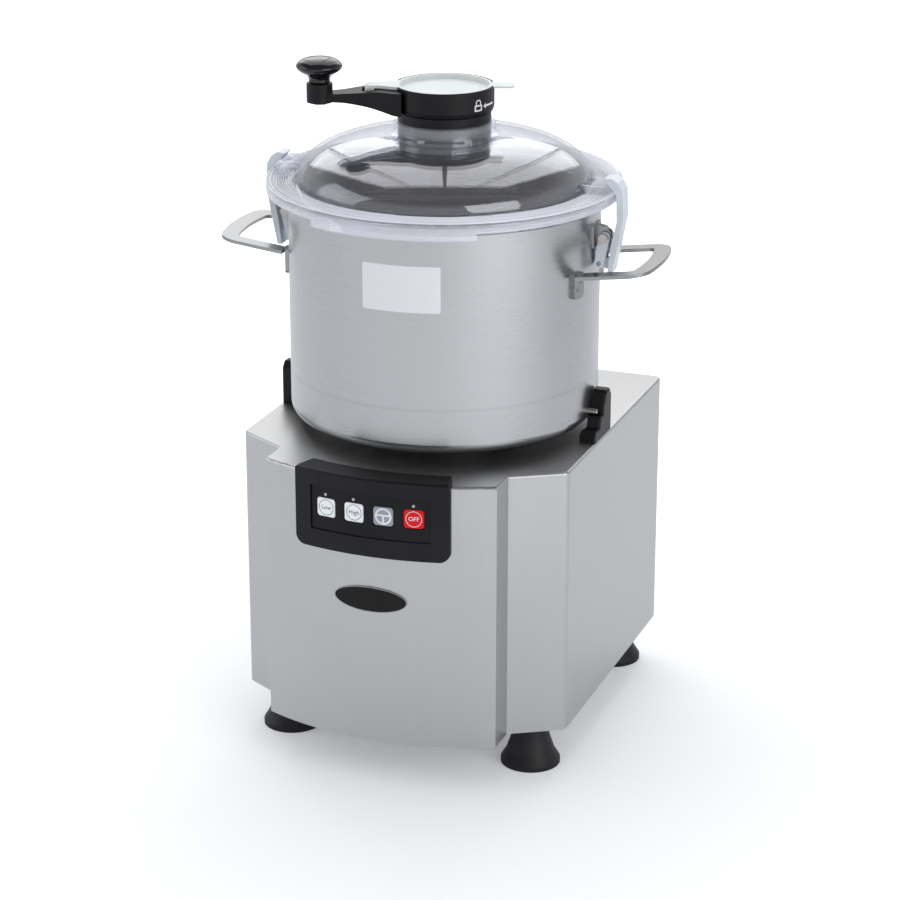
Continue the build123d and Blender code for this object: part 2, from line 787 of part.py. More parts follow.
def bowl():
    """The bowl's wall, rolled and welded, with its rolled rim; it stands on the pan's edge."""
    r = bowl_radius
    w = bowl_wall
    z1 = bowl_rim_z
    k = math.sqrt(0.5)
    flare = 3.0
    bead = rim_bead_radius
    return chained([
        Line((r, weld_z), (r, z1 - w - flare)),
        ThreePointArc((r, z1 - w - flare), (r + flare - flare * k, z1 - w - flare + flare * k),
                      (r + flare, z1 - w)),
        Line((r + flare, z1 - w), (rim_radius - bead, z1 - w)),
        ThreePointArc((rim_radius - bead, z1 - w), (rim_radius, z1 - 2 * bead), (rim_radius + bead, z1 - bead)),
        ThreePointArc((rim_radius + bead, z1 - bead), (rim_radius + bead * k, z1 - bead + bead * k),
                      (rim_radius, z1)),
        Line((rim_radius, z1), (r + flare, z1)),
        ThreePointArc((r + flare, z1), (r + flare - (flare + w) * k, z1 - (flare + w) * (1 - k)),
                      (r - w, z1 - w - flare)),
        Line((r - w, z1 - w - flare), (r - w, weld_z)),
        Line((r - w, weld_z), (r, weld_z)),
    ])


def bowl_pan():
    """The bowl's deep-drawn bottom, with the tube that the shaft passes through."""
    r = bowl_radius
    w = bowl_wall
    c = bowl_corner
    z0 = bowl_bottom_z
    t = tube_radius
    k = math.sqrt(0.5)
    return chained([
        Line((t - tube_wall, z0), (r - c, z0)),
        ThreePointArc((r - c, z0), (r - c + c * k, z0 + c - c * k), (r, z0 + c)),
        Line((r, z0 + c), (r, weld_z)),
        Line((r, weld_z), (r - w, weld_z)),
        Line((r - w, weld_z), (r - w, z0 + c)),
        ThreePointArc((r - w, z0 + c), (r - c + (c - w) * k, z0 + c - (c - w) * k), (r - c, z0 + w)),
        Line((r - c, z0 + w), (t, z0 + w)),
        Line((t, z0 + w), (t, tube_top_z - 1)),
        Line((t, tube_top_z - 1), (t - 1, tube_top_z)),
        Line((t - 1, tube_top_z), (t - tube_wall, tube_top_z)),
        Line((t - tube_wall, tube_top_z), (t - tube_wall, z0)),
    ])


def outside_bowl(shape, clearance=0.0):
    """Cut a piece back to the bowl's outer wall, which it is welded to."""
    return shape - rod(bowl_radius + clearance, bowl_bottom_z - 60, bowl_rim_z + 20)


def bowl_pins():
    """The two pins welded to the bowl's wall."""
    face = Plane.YZ * Pos(lock_pin_y, lock_pin_z) * Circle(lock_pin_radius)
    pin = Pos(bowl_radius - 3, 0, 0) * extrude(face, lock_pin_reach - bowl_radius + 3, dir=(1, 0, 0))
    pin = chamfer(pin.faces().sort_by(Axis.X)[-1].edges(), 0.6)
    pin = outside_bowl(pin)
    return [pin, Rot(0, 0, 180) * pin]


def handle():
    """A loop handle cut and bent from strip, with a welded tab at each end."""
    inner_reach = handle_reach - handle_band
    inner_half = handle_half_width - handle_band + 0.5
    root = bowl_radius - 4
    outer = Circle(handle_reach) & (Pos(root + 50, 0) * Rectangle(100, 2 * handle_half_width))
    outer = fillet(outer.vertices().group_by(Axis.X)[-1], handle_corner)
    inner = Circle(inner_reach) & (Pos(root + 50, 0) * Rectangle(104, 2 * inner_half))
    inner = fillet(inner.vertices().group_by(Axis.X)[-1], 6.0)
    loop = extrude(outer - inner, handle_sheet)
    loop = Pos(-bowl_radius, 0, -handle_sheet) * loop
    loop = Pos(bowl_radius, 0, handle_root_z) * Rot(0, -handle_tilt, 0) * loop
    shape = loop
    for angle in (-tab_angle, tab_angle):
        tab = block(bowl_radius - 3, bowl_radius + handle_sheet, -tab_width / 2, tab_width / 2,
                    handle_root_z - tab_drop, handle_root_z - 0.3)
        low = tab.edges().filter_by(Axis.X).sort_by(Axis.Z)[:2]
        tab = fillet(low, 3.5)
        shape += Rot(0, 0, angle) * tab
    return outside_bowl(shape)


# ---- latches, drawn on the +X side ----
def latch_bracket():
    """A folded steel bracket with two ears, welded to the bowl's wall."""
    pad = block(bowl_radius - 3, bowl_radius + 1.8, -12, 12, lever_bolt_z - 9, lever_bolt_z + 11)
    ears = slab_xz([
        (bowl_radius - 3, lever_bolt_z - 8), (bowl_radius + 4, lever_bolt_z - 6),
        (lever_bolt_x + 1, lever_bolt_z - 5), (lever_bolt_x + 5.2, lever_bolt_z - 1),
        (lever_bolt_x + 5.2, lever_bolt_z + 4), (lever_bolt_x, lever_bolt_z + 9),
        (bowl_radius - 3, lever_bolt_z + 11),
    ], 3.9)
    ears -= block(bowl_radius + 1.8, lever_bolt_x + 9, -2, 2, lever_bolt_z - 20, lever_bolt_z + 6.5)
    shape = pad + ears
    shape -= rod_y(latch_bolt_radius + 0.05, lever_bolt_x, lever_bolt_z, -20, 20)
    return outside_bowl(shape)


def latch_bolt():
    """The bolt of a latch, with a hexagon on each end."""
    head = Plane.XZ * Pos(lever_bolt_x, lever_bolt_z) * RegularPolygon(4.6, 6)
    shape = rod_y(latch_bolt_radius, lever_bolt_x, lever_bolt_z, -7.3, 9.4)
    shape += Pos(0, -7.3, 0) * extrude(head, 3.6)
    shape += Pos(0, 10.9, 0) * extrude(head, 3.6)
    return shape


def latch_link():
    """The two-sided toggle link between the bracket's bolt and the lever's pin."""
    upper = Pos(lever_bolt_x, lever_bolt_z) * Circle(5.0)
    lower = Pos(lever_pin_x, lever_pin_z) * Circle(4.2)
    outline = Plane.XZ * make_hull(upper.edges() + lower.edges())
    plates = extrude(outline, link_plate_outer, both=True) - extrude(outline, link_plate_inner, both=True)
    mid_x = (lever_bolt_x + lever_pin_x) / 2
    mid_z = (lever_bolt_z + lever_pin_z) / 2
    web = slab_xz([(mid_x - 4, mid_z - 1.6), (mid_x + 4, mid_z - 1.6), (mid_x + 4, mid_z + 1.2),
                   (mid_x - 4, mid_z + 1.2)], 5.0)
    shape = plates + web
    shape -= rod_y(latch_bolt_radius + 0.05, lever_bolt_x, lever_bolt_z, -20, 20)
    shape -= rod_y(lever_pin_radius, lever_pin_x, lever_pin_z, -20, 20)
    return shape


def lever_pin():
    """The pin between a link and its lever."""
    reach = link_plate_outer + 0.6
    return rod_y(lever_pin_radius, lever_pin_x, lever_pin_z, -reach, reach)


def hook_line(gap=0.0):
    """Two points on the slanted face that the hook bears on, shifted inward by a gap."""
    slope = math.radians(hook_angle)
    shift_x = gap * math.sin(slope)
    shift_z = gap * math.cos(slope)
    low = (hook_low_x - shift_x, hook_low_z - shift_z)
    high = (low[0] - hook_rise / math.tan(slope), low[1] + hook_rise)
    return low, high


def latch_lever():
    """The moulded hook lever: a curved bar with a hook at the top and an eye for its pin."""
    low, high = hook_line()
    outline = [*lever_back, *lever_face, low, high]
    bar = slab_xz(outline, latch_half_width)
    back_x = lever_face[-1][0]
    along = bar.edges().filter_by(Axis.Y).filter_by(lambda e: e.center().X > back_x + 0.05)
    bar = fillet(along.filter_by(lambda e: e.center().Z > lever_face[-1][1] - 6), 3.0)
    eye_y = link_plate_inner - 0.2
    arm = slab_xz([
        (lever_pin_x, lever_pin_z - lever_eye_radius), (lever_pin_x + 9.5, lever_pin_z - 5.2),
        (lever_pin_x + 10.5, lever_pin_z + 5),
        (lever_pin_x, lever_pin_z + lever_eye_radius),
    ], eye_y)
    eye = rod_y(lever_eye_radius, lever_pin_x, lever_pin_z, -eye_y, eye_y)
    shape = bar + arm + eye
    shape -= rod_y(lever_pin_radius + 0.05, lever_pin_x, lever_pin_z, -20, 20)
    return shape


# ---- lid ----
def dome_arc(shrink, start_z):
    """A quarter ellipse from the dome's foot to its collar."""
    return EllipticalCenterArc(
        (collar_radius, start_z), dome_radius - collar_radius - shrink, dome_height - shrink,
        start_angle=0, arc_size=90)


def lid():
    """The clear moulded lid: a flange with a lip outside and a skirt inside, a dome and a collar."""
    lip_in = lid_radius - lid_lip_wall
    lip_z = bowl_rim_z - lid_lip_drop + 2
    skirt_out = bowl_radius - bowl_wall - 1
    skirt_in = skirt_out - 3
    skirt_z = flange_z - lid_skirt_drop
    bore = neck_radius + neck_clearance
    collar_z = dome_top_z + collar_height
    section = (
        Polyline((dome_radius, flange_top_z), (lid_radius - 1.6, flange_top_z), (lid_radius, flange_top_z - 1.6),
                 (lid_radius, lip_z), (lip_in, lip_z), (lip_in, flange_z), (skirt_out, flange_z),
                 (skirt_out, skirt_z), (skirt_in, skirt_z), (skirt_in, flange_z),
                 (dome_radius - lid_wall, flange_z), (dome_radius - lid_wall, flange_top_z))
        + dome_arc(lid_wall, flange_top_z)
        + Polyline((collar_radius, dome_top_z - lid_wall), (collar_wall_radius, dome_top_z - lid_wall),
                   (collar_wall_radius, scraper_top_z + 0.5), (bore, scraper_top_z + 0.5), (bore, collar_z),
                   (collar_wall_radius - 1, collar_z), (collar_wall_radius, collar_z - 1),
                   (collar_wall_radius, dome_top_z + 4), (collar_radius, dome_top_z + 2),
                   (collar_radius, dome_top_z))
        + dome_arc(0.0, flange_top_z))
    shape = revolve(make_face(Plane.XZ * section), Axis.Z, 360)
    front = ring(lid_radius, lip_in, bowl_rim_z - front_lip_drop + 2, flange_z)
    wedge = make_face(Polyline((0, 0), *[
        (2 * lid_radius * math.cos(math.radians(a)), 2 * lid_radius * math.sin(math.radians(a)))
        for a in (-90 - front_lip_half_angle, -90, -90 + front_lip_half_angle)], close=True))
    front &= Pos(0, 0, bowl_rim_z - 30) * extrude(wedge, 60, dir=(0, 0, 1))
    shape += turned_bowl(front)
    for side in (0, 1):
        shape += turned_bowl(lid_ears(), side)
    return shape


def lid_ears():
    """Two radial ribs with round tops, and between them the slanted pad for the hook."""
    low, high = hook_line(hook_gap)
    slope = math.radians(hook_angle)
    top = flange_top_z + ear_height + 0.2
    foot_x = low[0] - (flange_top_z - 0.5 - low[1]) / math.tan(slope)
    top_x = low[0] - (top - low[1]) / math.tan(slope)
    root = dome_radius + 5
    pad = slab_xz([(root, flange_top_z - 1), (root, top), (top_x, top), (foot_x, flange_top_z - 0.5),
                   (foot_x - 1, flange_top_z - 1)], ear_inner_y + 1)
    rib_top = flange_top_z + ear_height
    rib_foot = flange_top_z - 3
    rib_profile = [(dome_radius - 11, rib_foot), (dome_radius - 7, rib_top), (lid_radius - 7, rib_top),
                   (lid_radius - 3, flange_top_z + 2), (lid_radius - 3, rib_foot)]
    rib = slab_xz(rib_profile, (ear_outer_y - ear_inner_y) / 2)
    tops = rib.edges().filter_by(Axis.X).sort_by(Axis.Z)[-2:]
    rib = fillet(tops, 2.4)
    middle = (ear_outer_y + ear_inner_y) / 2
    shape = pad + Pos(0, middle, 0) * rib + Pos(0, -middle, 0) * rib
    return shape - rod(dome_radius - lid_wall / 2, flange_top_z - 10, flange_top_z + 2)


def lid_seal():
    """The flat rubber ring between the lid and the bowl's rim."""
    return ring(rim_radius - 3.4, bowl_radius + 2, bowl_rim_z + small_gap, flange_z)


# ---- crank, scraper and cap: drawn along +X, then turned to the crank's angle ----
def turned_crank(shape):
    """Turn a piece to the angle that the crank rests at."""
    return Rot(0, 0, crank_angle) * shape


def crank():
    """The moulded hub with its neck, its lever arm and the boss for the knob."""
    rim_wall = 1.3
    seat_z = hub_top_z - 7.0
    root = hub_radius + 1.8
    hub = turned([
        (throat_radius, scraper_top_z), (neck_radius, scraper_top_z), (neck_radius, hub_bottom_z),
        (hub_radius - 3.4, hub_bottom_z), (hub_radius - 1.0, hub_bottom_z + 1.6), (hub_radius, hub_bottom_z + 5),
        (hub_radius, hub_top_z), (hub_radius - rim_wall, hub_top_z), (hub_radius - rim_wall, seat_z),
        (throat_radius, seat_z),
    ])
    end = crank_length
    arm_top_z = hub_top_z - 3.2
    side = make_face(Plane.XZ * (
        Polyline((root - 8, hub_bottom_z), (root, hub_bottom_z + 0.6))
        + Spline((root, hub_bottom_z + 0.6), (root + 26, hub_bottom_z + 6.5), (end, hub_bottom_z + 8.5))
        + Polyline((end, hub_bottom_z + 8.5), (end, hub_top_z - 8.5))
        + Spline((end, hub_top_z - 8.5), (end - 30, hub_top_z - 6.0), (root + 12, arm_top_z))
        + Polyline((root + 12, arm_top_z), (root - 8, arm_top_z), (root - 8, hub_bottom_z))))
    side = extrude(side, 40, both=True)
    half_plan = [(root - 16, 32), (root, 26), (cap_hinge_reach, 16.5), (end - 22, 10), (end, 8.2)]
    plan = make_face(Polyline(*[(x, -y) for x, y in half_plan], *half_plan[::-1], close=True))
    plan = Pos(0, 0, hub_bottom_z - 5) * extrude(plan, 60, dir=(0, 0, 1))
    arm = (side & plan) - rod(hub_radius - rim_wall, hub_bottom_z - 5, hub_top_z + 5)
    arm -= rod(cap_hinge_reach - 4, hub_top_z - 3.2, hub_top_z + 5)
    boss = rod(knob_boss_radius, hub_bottom_z + 7.5, hub_top_z + 1.2, crank_length)
    boss = fillet(boss.faces().sort_by(Axis.Z)[-1].edges(), 1.0)
    shape = hub + arm + boss
    shape -= block(cap_hinge_reach - 5.5, cap_hinge_reach + 6.5, -8.2, 8.2, hub_top_z - 9, hub_top_z + 5)
    shape -= block(cap_radius - 2, hub_radius + 2, -15.5, 15.5, hub_top_z - 3.2, hub_top_z + 2)
    shape -= block(-hub_radius - 2, -cap_radius + 2, -10.5, 10.5, hub_top_z - 3.2, hub_top_z + 2)
    shape -= rod_y(cap_hinge_pin_radius, cap_hinge_reach, hinge_z, -13, 13)
    shape -= rod(knob_pin_radius, hub_bottom_z - 5, hub_top_z + 5, crank_length)
    return turned_crank(shape)


def hinge_pin():
    """The pin of the feed cap's hinge."""
    return turned_crank(rod_y(cap_hinge_pin_radius, cap_hinge_reach, hinge_z, -12.9, 12.9))


def feed_cap():
    """The soft cap of the feed opening: a shallow dish, a strap to its hinge and a pull tab."""
    floor_z = hub_top_z - 6.6
    dish = turned([
        (0, floor_z), (cap_radius, floor_z), (cap_radius, hub_top_z), (cap_radius - cap_wall, hub_top_z),
        (cap_radius - cap_wall - 1.5, floor_z + cap_wall), (0, floor_z + cap_wall),
    ])
    half_plan = [(hub_radius - 14.2, 15), (hub_radius - 0.2, 14), (cap_hinge_reach - 8, 7.6),
                 (cap_hinge_reach, 7.6)]
    strap_plan = make_face(Polyline(*[(x, -y) for x, y in half_plan], *half_plan[::-1], close=True))
    strap = Pos(0, 0, hub_top_z - 2.6) * extrude(strap_plan, 2.6, dir=(0, 0, 1))
    strap -= rod(cap_radius - cap_wall, hub_top_z - 8, hub_top_z + 2)
    barrel = rod_y(4.2, cap_hinge_reach, hinge_z, -7.6, 7.6)
    tab = Pos(-hub_radius - 5.8, 0, hub_top_z - 2.6) * extrude(RectangleRounded(24, 18, 6), 1.8)
    tab -= rod(cap_radius - cap_wall, hub_top_z - 8, hub_top_z + 2)
    shape = dish + strap + barrel + tab
    shape -= rod_y(cap_hinge_pin_radius + 0.05, cap_hinge_reach, hinge_z, -20, 20)
    return turned_crank(shape)


def knob():
    """The mushroom-shaped hand knob."""
    low = hub_top_z + 1.2 + small_gap
    outline = (Polyline((0, low), (8.6, low), (9.4, low + 1.2), (9.4, low + 3.4))
               + Spline((9.4, low + 3.4), (13.5, low + 8.0), (19.4, low + 12.2),
                        (knob_radius, low + 14.8), (18.6, low + 18.0), (10.5, low + 21.8), (0, low + 23.0))
               + Line((0, low + 23.0), (0, low)))
    shape = revolve(make_face(Plane.XZ * outline), Axis.Z, 360)
    shape -= rod(knob_pin_radius + 0.05, low - 1, low + 13)
    return turned_crank(Pos(crank_length, 0, 0) * shape)


def knob_pin():
    """The headed pin that the knob turns on."""
    low = hub_bottom_z + 7.0
    shape = rod(knob_pin_radius, low, hub_top_z + 12, crank_length)
    shape += rod(6.0, low - 1.5, low + 0.5, crank_length)
    return turned_crank(shape)


def scraper_frame():
    """A clip ring on the neck with two arms that follow the dome and hang down the wall."""
    clip = ring(collar_radius - 2, throat_radius, scraper_top_z - 6.0, scraper_top_z)
    root = neck_radius - 1.5
    reach = scraper_reach
    top = scraper_top_z
    outer = make_face(Plane.XZ * Polyline(
        (root, top), (root + 20, top), (reach - 43, top - 2.5), (reach - 23, top - 8),
        (reach - 9, top - 19), (reach - 4, top - 34), (reach - 4, flange_z - 14),
        (reach, flange_z - 18), (reach, scraper_low_z), (reach - 9, scraper_low_z),
        (reach - 9, flange_z - 12), (reach - 14, top - 30), (reach - 30, top - 16),
        (reach - 47, top - 10.5), (root + 20, top - 8), (root, top - 6), close=True))
    arm = extrude(outer, scraper_half_width, both=True)
    arm -= rod(throat_radius + 2, top - 40, top + 20)
    return turned_crank(clip + arm + Rot(0, 0, 180) * arm)


def wipers():
    """Flexible edges clipped on the arms, which sweep the bowl's wall."""
    blade = block(scraper_reach + 0.05, bowl_radius - bowl_wall - 0.7, -1.6, 1.6, scraper_low_z, flange_z - 18.5)
    return [turned_crank(blade), turned_crank(Rot(0, 0, 180) * blade)]


# ---- cutting blades ----

def blade_hub():
    """A sleeve over the bowl's tube, closed at the top by the keyed bore on the shaft."""
    low = bowl_floor_z + blade_gap
    shape = turned([
        (tube_radius + 0.8, low), (blade_ring_radius, low), (blade_ring_radius, blade_seat_z),
        (hub_sleeve_radius, blade_seat_z),
        (hub_sleeve_radius, upper_blade_z + 20), (hub_sleeve_radius - 6, upper_blade_z + 36),
        (key_shaft_radius + 8.5, blade_hub_top_z - 2), (key_shaft_radius + 6.5, blade_hub_top_z),
        (0, blade_hub_top_z), (0, hub_cap_z), (tube_radius + 0.8, hub_cap_z),
    ])
    bore = keyed(key_shaft_radius + key_clearance, key_flat + key_clearance)
    shape -= Pos(0, 0, hub_cap_z - 1) * extrude(bore, shaft_top_z + 0.5 - hub_cap_z + 1)
    return shape


def blade(low, turn):
    """An S-shaped blade with two swept arms on one ring."""
    tip = (blade_tip_radius * math.cos(math.radians(27)), blade_tip_radius * math.sin(math.radians(27)))
    root = blade_ring_radius - 2
    arm = make_face(
        ThreePointArc((10, -root), (blade_tip_radius - 43, -20), tip)
        + ThreePointArc(tip, (blade_tip_radius - 56, 12), (10, root))
        + Line((10, root), (10, -root)))
    plan = Circle(blade_ring_radius) + arm + Rot(0, 0, 180) * arm
    shape = Pos(0, 0, low) * extrude(plan, blade_thickness, dir=(0, 0, 1))
    shape -= rod(hub_sleeve_radius + 0.05, low - 1, low + blade_thickness + 1)
    return Rot(0, 0, turn) * shape


def blade_spacer():
    """The ring between the two blades."""
    return ring(blade_ring_radius, hub_sleeve_radius + 0.05, blade_seat_z + blade_thickness, upper_blade_z)


def blade_nut():
    """The scalloped nut that clamps the blades on their hub."""
    low = upper_blade_z + blade_thickness
    shape = ring(blade_ring_radius, hub_sleeve_radius + 0.03, low, low + 12)
    shape -= around(rod(2.6, low + 2, low + 13, blade_ring_radius + 1.2), 12)
    return chamfer(shape.faces().sort_by(Axis.Z)[-1].outer_wire().edges(), 0.8)


# ---- every sub-part ----
node("housing_shell", housing())
node("base_plate", base_plate())
node("base_plate_screws", plate_screws())
node("feet", [Pos(x, y, 0) * foot() for x, y in foot_spots])
node("foot_studs", [Pos(x, y, 0) * foot_stud() for x, y in foot_spots])
node("control_bezel", bezel())
node("key_panel", panel())
node("indicator_lights", [led(x, led_radius, led_length) for x in led_x])
node("control_board", control_board())
node("key_switches", key_switches())
for name, x in zip(("key_low", "key_high", "key_pulse", "key_off"), key_x):
    node(name, key(x))
node("lock_blocks", [lock_block(), Rot(0, 0, 180) * lock_block()])
node("lock_block_screws", lock_screws())
node("ball_plungers", [plunger(), Rot(0, 0, 180) * plunger()])
node("drive_boss", drive_boss())
node("boss_screws", boss_screws())
node("shaft_bearings", [bearing(seal_low_z - bearing_width),
                        bearing(motor_bottom_z + bell_height - bearing_width)])
node("shaft_seal", shaft_seal())
node("drive_shaft", drive_shaft())
node("rotor_core", rotor_core())
node("cooling_fan", fan())
node("motor_frame", motor_frame())
node("stator_core", stator())
node("stator_windings", windings())
node("lower_end_bell", end_bell(motor_bottom_z, False) + bell_ears(motor_bottom_z))
node("upper_end_bell", end_bell(motor_top_z - bell_height, True) + bell_ears(motor_top_z - bell_height))
node("motor_bolts", motor_bolts())
node("fan_cover", fan_cover())
node("run_capacitor", capacitor())
node("motor_relay", relay())
node("cable_gland", cable_gland())
node("bowl", bowl())
node("bowl_pan", bowl_pan())
node("bowl_pins", bowl_pins())
node("handles", [turned_bowl(handle()), turned_bowl(handle(), 1)])
node("latch_brackets", [turned_bowl(latch_bracket()), turned_bowl(latch_bracket(), 1)])
node("latch_bolts", [turned_bowl(latch_bolt()), turned_bowl(latch_bolt(), 1)])
for name, half in (("right", 0), ("left", 1)):
    node("latch_link_" + name, turned_bowl(latch_link(), half))
    node("lever_pin_" + name, turned_bowl(lever_pin(), half))
    node("latch_lever_" + name, turned_bowl(latch_lever(), half))
node("lid", lid())
node("lid_seal", lid_seal())
node("crank", crank())
node("cap_hinge_pin", hinge_pin())
node("feed_cap", feed_cap())
node("crank_knob", knob())
node("knob_pin", knob_pin())
node("scraper_frame", scraper_frame())
node("scraper_wipers", wipers())
node("blade_hub", blade_hub())
node("lower_blade", blade(blade_seat_z, 0))
node("upper_blade", blade(upper_blade_z, 90))
node("blade_spacer", blade_spacer())
node("blade_nut", blade_nut())

for name, shape in made.items():
    solids = shape if isinstance(shape, list) else [shape]
    export_step(Compound(children=[s for piece in solids for s in piece.solids()]), f"parts/{name}.step")
print(len(made), "nodes")
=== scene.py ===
# %% [markdown]
# # A bench-top bowl cutter, dressed for its portrait
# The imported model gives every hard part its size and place. This script loads it, gives each part the
# finish of the real material, adds what is too thin for a solid, such as prints and weld marks, and
# lights it softly on a white floor.

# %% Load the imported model
import bmesh
import bpy
import math
from mathutils import Matrix, Vector


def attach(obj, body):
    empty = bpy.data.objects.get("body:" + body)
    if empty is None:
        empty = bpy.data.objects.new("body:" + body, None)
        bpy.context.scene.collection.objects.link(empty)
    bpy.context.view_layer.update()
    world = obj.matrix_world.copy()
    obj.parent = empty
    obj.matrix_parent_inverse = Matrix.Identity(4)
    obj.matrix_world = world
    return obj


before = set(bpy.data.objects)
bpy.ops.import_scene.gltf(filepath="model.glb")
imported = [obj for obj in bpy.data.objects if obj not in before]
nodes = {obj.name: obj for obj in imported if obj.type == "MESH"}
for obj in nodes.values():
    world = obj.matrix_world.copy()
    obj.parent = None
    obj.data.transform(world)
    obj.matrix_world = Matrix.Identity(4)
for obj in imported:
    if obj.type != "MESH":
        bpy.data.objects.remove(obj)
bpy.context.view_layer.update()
MM = 0.001

# %% [markdown]
# ## Camera
# The camera stands well back with a long lens, a little to the right and above, so the uprights stay
# nearly parallel. Its place is worked out from an azimuth, an elevation and a distance to the spot it
# looks at, which is easier to adjust than three coordinates.

# %% Camera
AZIMUTH = math.radians(20.59)
ELEVATION = math.radians(19.96)
DISTANCE = 2.59206
LENS_MM = 113.19
AIM_HEIGHT = 0.300
AIM_RIGHT = 0.00487
AIM_DOWN = 0.04346
right = Vector((math.cos(AZIMUTH), math.sin(AZIMUTH), 0))
level = math.cos(ELEVATION)
away = Vector((level * math.sin(AZIMUTH), -level * math.cos(AZIMUTH), math.sin(ELEVATION)))
up = away.cross(right)
target = Vector((0, 0, AIM_HEIGHT)) + right * AIM_RIGHT - up * AIM_DOWN
lens = bpy.data.cameras.new("view")
lens.lens = LENS_MM
lens.sensor_width = 36.0
lens.sensor_fit = "HORIZONTAL"
lens.clip_end = 60.0
camera = bpy.data.objects.new("view", lens)
bpy.context.scene.collection.objects.link(camera)
turned = Matrix((right, up, away)).transposed().to_4x4()
camera.matrix_world = Matrix.Translation(target + away * DISTANCE) @ turned
bpy.context.scene.camera = camera
bpy.context.scene.view_settings.view_transform = "Standard"
print("camera at", [round(v, 4) for v in camera.matrix_world.translation])

# %% [markdown]
# ## Node trees written as sums
# A material is a small tree of nodes. The first class wraps one output of a node, so that `1 - mask` or
# `noise * 0.2 + 0.3` adds the Math nodes for it, and the recipe of a finish reads like a formula.


# %% A wire
class Wire:
    """One output in a node tree, which numbers and other wires can be added to."""

    def __init__(self, graph, socket):
        self.graph = graph
        self.socket = socket

    def math(self, operation, *others, clamp=False):
        values = {i: v for i, v in enumerate((self, *others))}
        return self.graph.node("ShaderNodeMath", {"operation": operation, "use_clamp": clamp}, values)

    def __add__(self, other):
        return self.math("ADD", other)

    __radd__ = __add__

    def __mul__(self, other):
        return self.math("MULTIPLY", other)

    __rmul__ = __mul__

    def __sub__(self, other):
        return self.math("SUBTRACT", other)

    def __rsub__(self, other):
        return (self * -1.0).math("ADD", other)

    def clamp(self):
        return self.math("ADD", 0.0, clamp=True)

    def band(self, low, high, start=0.0, end=1.0):
        """From start below low to end above high, smoothly."""
        return self.graph.node("ShaderNodeMapRange", {"interpolation_type": "SMOOTHSTEP"}, {
            "Value": self, "From Min": low, "From Max": high, "To Min": start, "To Max": end})

    def split(self):
        """The three parts of a vector."""
        return list(self.graph.node("ShaderNodeSeparateXYZ", None, {0: self}, output=None).values())


print("a wire takes + - * with numbers and other wires")

# %% [markdown]
# ## One method for every node
# The second class holds the tree. Its one method makes any node: the settings come first, because some
# of them change which sockets there are, and then each socket gets a value or a wire.


# %% A graph
class Graph:
    """A node tree under construction."""

    def __init__(self, tree):
        self.tree = tree
        self.tree.nodes.clear()

    def node(self, kind, settings=None, inputs=None, output=0):
        """Make a node; output is the index or name of the wire to return, or None for all by name."""
        made = self.tree.nodes.new(kind)
        for key, value in (settings or {}).items():
            setattr(made, key, value)
        for key, value in (inputs or {}).items():
            socket = made.inputs[key]
            if isinstance(value, Wire):
                self.tree.links.new(value.socket, socket)
            elif socket.type == "RGBA" and len(value) == 3:
                socket.default_value = (*value, 1.0)
            else:
                socket.default_value = value
        if output is None:
            return {socket.name: Wire(self, socket) for socket in made.outputs}
        return Wire(self, made.outputs[output]) if made.outputs else None

    def mix(self, factor, first, second):
        """Between two colours."""
        return self.node("ShaderNodeMix", {"data_type": "RGBA"}, {0: factor, 6: first, 7: second}, 2)


print("a graph makes any node by one method, and mixes two colours")

# %% [markdown]
# ## A finish
# A finish is a graph that ends in a surface. Patterns read Object coordinates, in metres, because every
# part keeps its origin at the machine's own origin, so a grain runs on from one part to the next and
# stays put when a part moves. Round parts ask how far a point is from the drive axis.


# %% A finish
class Finish(Graph):
    """A material under construction."""

    def __init__(self, name):
        self.material = bpy.data.materials.new(name)
        self.material.use_nodes = True
        super().__init__(self.material.node_tree)

    def place(self, scale=(1, 1, 1)):
        """Where a point of the surface is, in metres, stretched."""
        spot = self.node("ShaderNodeTexCoord", output="Object")
        return self.node("ShaderNodeMapping", {"vector_type": "POINT"}, {"Vector": spot, "Scale": scale})

    def from_axis(self):
        """Distance from the drive axis, and the height."""
        x, y, z = self.place().split()
        return (x * x + y * y).math("SQRT"), z

    def noise(self, scale, detail=2.0, rough=0.5):
        return self.node("ShaderNodeTexNoise", None, {
            "Vector": self.place(scale), "Scale": 1.0, "Detail": detail, "Roughness": rough})

    def bump(self, height, strength, depth):
        """A fine relief, its depth in metres."""
        return self.node("ShaderNodeBump", None, {"Height": height, "Strength": strength, "Distance": depth})

    def shader(self, **values):
        """The general shader; spaces in socket names are written as underscores."""
        named = {key.replace("_", " "): value for key, value in values.items()}
        return self.node("ShaderNodeBsdfPrincipled", None, named)

    def end(self, shader):
        self.node("ShaderNodeOutputMaterial", None, {0: shader})
        return self.material


print("a finish reads places in metres and ends in a surface")

# %% [markdown]
# ## Dressing a part
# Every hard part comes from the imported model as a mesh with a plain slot. Painting single faces would
# also work, but each real part is made of one material, so it gets one finish as a whole. A tone that
# is the same all over is made lighter or darker in Python, which needs no node.


# %% Dressing a part
def wear(material, *names):
    """Give CAD nodes a finish, and return it."""
    for name in names:
        mesh = nodes[name].data
        mesh.materials.clear()
        mesh.materials.append(material)
    print(material.name, "on", len(names), "nodes")
    return material


def shaded(tone, factor, lift=0.0):
    """A colour made lighter or darker."""
    return tuple(min(1.0, c * factor + lift) for c in tone)


print("a grey of 0.5 at half its tone:", shaded((0.5, 0.5, 0.5), 0.5))
